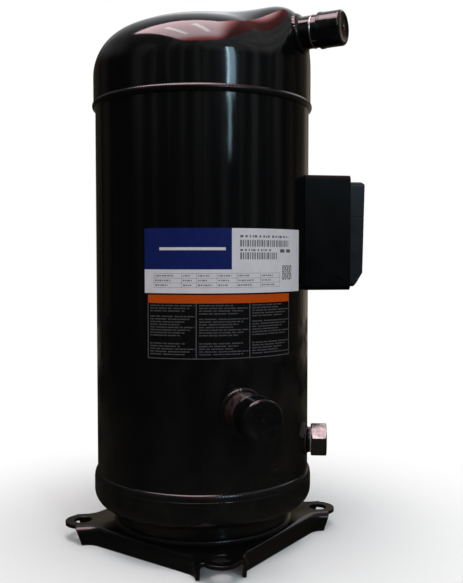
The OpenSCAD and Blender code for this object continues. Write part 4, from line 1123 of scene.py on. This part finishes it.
class COMPRESSOR_OT_inner_finishes(bpy.types.Operator):
    """Gives every CAD node that stays in view its finish"""

    bl_idname = "compressor.inner_finishes"
    bl_label = "Carried-over finishes"

    def execute(self, context):
        finishes = {
            bare_steel: (
                "separator_plate", "suction_baffle", "box_studs", "box_nuts", "terminal_cup", "terminal_nuts",
                "crankshaft", "oil_pickup", "guide_bolts", "guide_sleeves", "thrust_washer", "valve_cage",
                "check_valve_disc",
            ),
            cast_iron: (
                "main_bearing_housing", "lower_bearing_housing", "fixed_scroll", "orbiting_scroll",
                "floating_seal",
            ),
            bronze: (
                "main_bearing", "lower_bearing", "orbiting_bearing", "drive_bush", "terminal_pins",
                "upper_counterweight", "lower_counterweight",
            ),
            aluminium: ("rotor_end_rings", "oldham_ring"),
            lamination: ("stator_core", "rotor_core"),
            winding: ("stator_winding",),
            foam: ("box_gasket",),
            terminal_plastic: ("terminal_block",),
            bead_glass: ("terminal_glass",),
            green_screw: ("earth_screw",),
        }
        for make, nodes in finishes.items():
            for node in nodes:
                mesh = frame["nodes"][node].data
                mesh.materials.clear()
                mesh.materials.append(stock(make))
        return {"FINISHED"}


class Card(Shading):
    """A glowing material of the studio's cards, which show only in reflections."""

    def __init__(self, name):
        self.material = bpy.data.materials.new(name)
        super().__init__(self.material)
        self.nodes.remove(self.nodes["Principled BSDF"])
        self.emission = self.add("ShaderNodeEmission")
        self.plug(self.nodes["Material Output"].inputs["Surface"], self.emission.outputs[0])

    def glow(self, hue, strength):
        """Sets the card's colour and strength, or links patterns to them."""
        self.plug(self.emission.inputs["Color"], hue)
        self.plug(self.emission.inputs["Strength"], strength)

    def shade(self, axis, start, end, low, high):
        """A number that goes smoothly from low to high along one axis."""
        return self.span(self.part(self.coordinates, axis), low, high, start, end, "SMOOTHSTEP")

    def streaks(self, scale, low, high):
        """Uneven upright streaks, as of a furnished room."""
        return self.span(self.noise(1000, 3.0, self.stretch(scale)), low, high, 0.4, 0.68)


def stage_piece(bm, name, material, hidden_from=()):
    """Makes a bmesh a piece of the studio, hidden from some kinds of rays."""
    mesh = bpy.data.meshes.new(name)
    bm.to_mesh(mesh)
    bm.free()
    mesh.materials.append(material)
    item = stand(name, mesh)
    for ray in hidden_from:
        setattr(item, f"visible_{ray}", False)


def hang(bm, name, card):
    """Makes a bmesh a card of the studio."""
    stage_piece(bm, name, card.material, ("camera", "diffuse", "shadow", "transmission"))


def flat_sheet(corners, height):
    """A level sheet between corners of the plan."""
    bm = bmesh.new()
    bm.faces.new([bm.verts.new((x, y, height)) for x, y in corners])
    return bm


def tall_light(name, degrees, distance, low, high, width, power, hue):
    """A tall narrow area light that faces the compressor's axis."""
    lamp = bpy.data.lights.new(name, "AREA")
    lamp.shape = "RECTANGLE"
    lamp.size = width
    lamp.size_y = high - low
    lamp.energy = power
    lamp.color = hue
    angle = math.radians(degrees)
    spot = Vector((distance * math.cos(angle), distance * math.sin(angle), (low + high) / 2))
    item = stand(name, lamp)
    item.location = spot
    item.rotation_euler = (-Vector((spot.x, spot.y, 0))).to_track_quat("-Z", "Y").to_euler()


class COMPRESSOR_OT_stage(bpy.types.Operator):
    """Sets up the floor, the light, the cards and the camera"""

    bl_idname = "compressor.stage"
    bl_label = "Stage"

    def execute(self, context):
        light = context.scene.compressor_light
        context.scene.view_settings.view_transform = "Standard"
        self.world(context, light)
        self.floor()
        self.room_cards(light)
        self.ceiling_cards(light)
        self.lamps(light)
        self.camera(context)
        return {"FINISHED"}

    def world(self, context, light):
        """White behind the object and in its reflections, a lower even light on matt surfaces."""
        world = bpy.data.worlds.new("studio_white")
        context.scene.world = world
        shading = Shading(world)
        world.cycles.sampling_method = "NONE"
        back = shading.nodes["Background"].inputs
        shading.plug(back["Color"], (1, 1, 1, 1))
        shading.plug(back["Strength"], shading.span(shading.seen(), light.ambient, 1.0, 0.0, 1.0))

    def floor(self):
        """A wide pale disc that takes the shadow near the compressor and fades to white further out."""
        bm = bmesh.new()
        bmesh.ops.create_circle(bm, cap_ends=True, segments=96, radius=6.0)
        bmesh.ops.translate(bm, verts=bm.verts, vec=(0, 0, BOXES["base_plate"][0].z))
        material = bpy.data.materials.new("pale_floor")
        shading = Shading(material)
        matt = shading.nodes["Principled BSDF"]
        shading.plug(matt.inputs["Base Color"], (0.92, 0.92, 0.92, 1))
        shading.plug(matt.inputs["Roughness"], 0.75)
        shading.plug(matt.inputs["Specular IOR Level"], 0.0)
        distance = shading.add("ShaderNodeVectorMath", {0: shading.coordinates}, operation="LENGTH")
        fade = shading.span(distance.outputs["Value"], 0.0, 1.0, 0.16, 0.45, "SMOOTHSTEP")
        white = shading.add("ShaderNodeEmission", {"Strength": shading.seen()})
        mix = shading.add("ShaderNodeMixShader", {"Fac": fade, 1: matt.outputs[0], 2: white.outputs[0]})
        shading.plug(shading.nodes["Material Output"].inputs["Surface"], mix.outputs[0])
        stage_piece(bm, "floor", material)

    def room_cards(self, light):
        """Dim cards all round that keep gloss black black: warm behind, plain in front and above."""
        dim = Card("dim_card")
        across = dim.shade("X", -1.9, 2.0, 0.16, 1.6)
        behind = dim.product(dim.shade("Y", 0.4, 2.2, 1.0, 4.5), across)
        before = dim.product(dim.shade("Y", 0.2, -1.6, 0.0, 1.0), dim.shade("Z", 0.5, 1.4, 0.6, 3.6))
        room = dim.product(dim.join("ADD", behind, before), dim.streaks((1.6, 1.6, 0.25), 0.4, 2.6))
        ceiling = dim.product(dim.shade("Y", -0.2, 1.5, 1.0, 4.5), across)
        above = dim.product(dim.shade("Z", 1.5, 2.35, 0.0, 6.0), ceiling)
        plain = dim.join("MAXIMUM", dim.shade("Z", 1.5, 2.1, 0.0, 1.0), dim.shade("Y", 0.2, -1.0, 0.0, 1.0))
        hue = dim.blend(plain, (1.0, 0.83, 0.62), (0.96, 0.97, 1.0))
        dim.glow(hue, dim.product(dim.join("ADD", room, above), light.card))
        low, high, radius = BOXES["base_plate"][0].z + 1 * MM, 2.45, 3.2
        hang(turned([(0.0, low), (radius, low), (radius, high), (0.0, high)], 64), "dim_cards", dim)

    def ceiling_cards(self, light):
        """A bright rosy ceiling card, redder at its near edge and right side, and two lamp tubes."""
        rosy = Card("ceiling_card")
        left = rosy.shade("X", 0.22, 0.72, 1.0, 0.07)
        strength = rosy.product(rosy.shade("Y", -2.1, -1.0, 0.4, 1.0), light.panel)
        pale = rosy.product(rosy.shade("Y", -1.85, -1.25, 0.0, 1.0), left)
        rosy.glow(rosy.blend(pale, (1.0, 0.2, 0.2), (1.0, 0.72, 0.77)), rosy.product(strength, left))
        back = [(-1.45, 0.8), (-0.75, 0.5), (0.0, 0.3), (0.3, 0.2)]
        wing = [(0.48, 0.45), (0.64, 0.85), (0.76, 1.1), (0.92, 0.8), (1.05, 0.3), (1.05, -0.3), (0.95, -1.0)]
        near = [(0.7, -1.55), (0.38, -1.95), (-0.3, -2.1), (-1.05, -1.85), (-1.25, -0.6)]
        hang(flat_sheet(back + wing + near, 2.4), "ceiling_card", rosy)
        white = Card("tube_glow")
        white.glow((1.0, 0.96, 0.97, 1), light.tube)
        half = 0.06
        tubes = ((-0.78, -0.05, -0.6, -1.05), (-0.18, -0.1, 0.05, -0.95))
        for index, (x, y, far_x, far_y) in enumerate(tubes):
            corners = [(x - half, y), (x + half, y), (far_x + half, far_y), (far_x - half, far_y)]
            hang(flat_sheet(corners, 2.36), f"lamp_tube_{index}", white)

    def lamps(self, light):
        """A tall window beside the camera with a bright edge and a narrow foot, and a round ceiling light."""
        cold = (0.55, 0.84, 1.0)
        for name, degrees, distance, low, high, width, share in (
            ("window", -69, 1.7, 0.8, 1.42, 0.24, 1.0),
            ("window_edge", -72.5, 1.69, 0.78, 1.4, 0.05, 0.55),
            ("window_foot", -70.5, 1.69, 0.62, 0.8, 0.08, 0.08),
        ):
            tall_light(name, degrees, distance, low, high, width, light.window * share, cold)
        lamp = bpy.data.lights.new("ceiling", "AREA")
        lamp.shape = "DISK"
        lamp.size = 1.0
        lamp.energy = light.ceiling
        lamp.color = (1.0, 0.94, 0.93)
        item = stand("ceiling", lamp)
        item.location = (0.0, -0.4, 2.2)
        item.visible_glossy = False

    def camera(self, context):
        """The photograph's viewpoint: level with the shell's middle and a little to the left."""
        downwards, bearing = 2.52, 80.49
        camera = bpy.data.cameras.new("camera")
        camera.lens = 46.98
        camera.sensor_width = 36.0
        camera.sensor_fit = "AUTO"
        camera.clip_start, camera.clip_end = 0.05, 50.0
        item = stand("camera", camera)
        item.location = (-0.10935, -0.84775, 0.2938)
        item.rotation_euler = (math.radians(90 - downwards), 0, math.radians(bearing - 90))
        context.scene.camera = item


OPERATORS = (
    COMPRESSOR_OT_top_cap,
    COMPRESSOR_OT_shell,
    COMPRESSOR_OT_seam_welds,
    COMPRESSOR_OT_base_plate,
    COMPRESSOR_OT_discharge_pipe,
    COMPRESSOR_OT_suction_pipe,
    COMPRESSOR_OT_sight_glass,
    COMPRESSOR_OT_terminal_box,
    COMPRESSOR_OT_label,
    COMPRESSOR_OT_inner_finishes,
    COMPRESSOR_OT_stage,
)
GROUPS = {
    "compressor_shell": ShellSizes,
    "compressor_plate": PlateSizes,
    "compressor_fittings": FittingSizes,
    "compressor_label": LabelSizes,
    "compressor_colours": FinishColours,
    "compressor_light": StudioLight,
}


class COMPRESSOR_PT_panel(bpy.types.Panel):
    """Lists the compressor's sizes, colours and pieces"""

    bl_idname = "COMPRESSOR_PT_panel"
    bl_label = "Scroll compressor"
    bl_space_type = "VIEW_3D"
    bl_region_type = "UI"
    bl_category = "Compressor"

    def draw(self, context):
        layout = self.layout
        for name, group in GROUPS.items():
            box = layout.box()
            box.label(text=group.__doc__)
            for item in group.__annotations__:
                box.prop(getattr(context.scene, name), item)
        for operator in OPERATORS:
            layout.operator(operator.bl_idname)


def register():
    for group in GROUPS.values():
        bpy.utils.register_class(group)
    for name, group in GROUPS.items():
        setattr(bpy.types.Scene, name, PointerProperty(type=group))
    for operator in OPERATORS:
        bpy.utils.register_class(operator)
    bpy.utils.register_class(COMPRESSOR_PT_panel)


def unregister():
    bpy.utils.unregister_class(COMPRESSOR_PT_panel)
    for operator in reversed(OPERATORS):
        bpy.utils.unregister_class(operator)
    for name, group in GROUPS.items():
        delattr(bpy.types.Scene, name)
        bpy.utils.unregister_class(group)


def main():
    register()
    for operator in OPERATORS:
        group, name = operator.bl_idname.split(".")
        getattr(getattr(bpy.ops, group), name)()


if __name__ == "__main__":
    main()
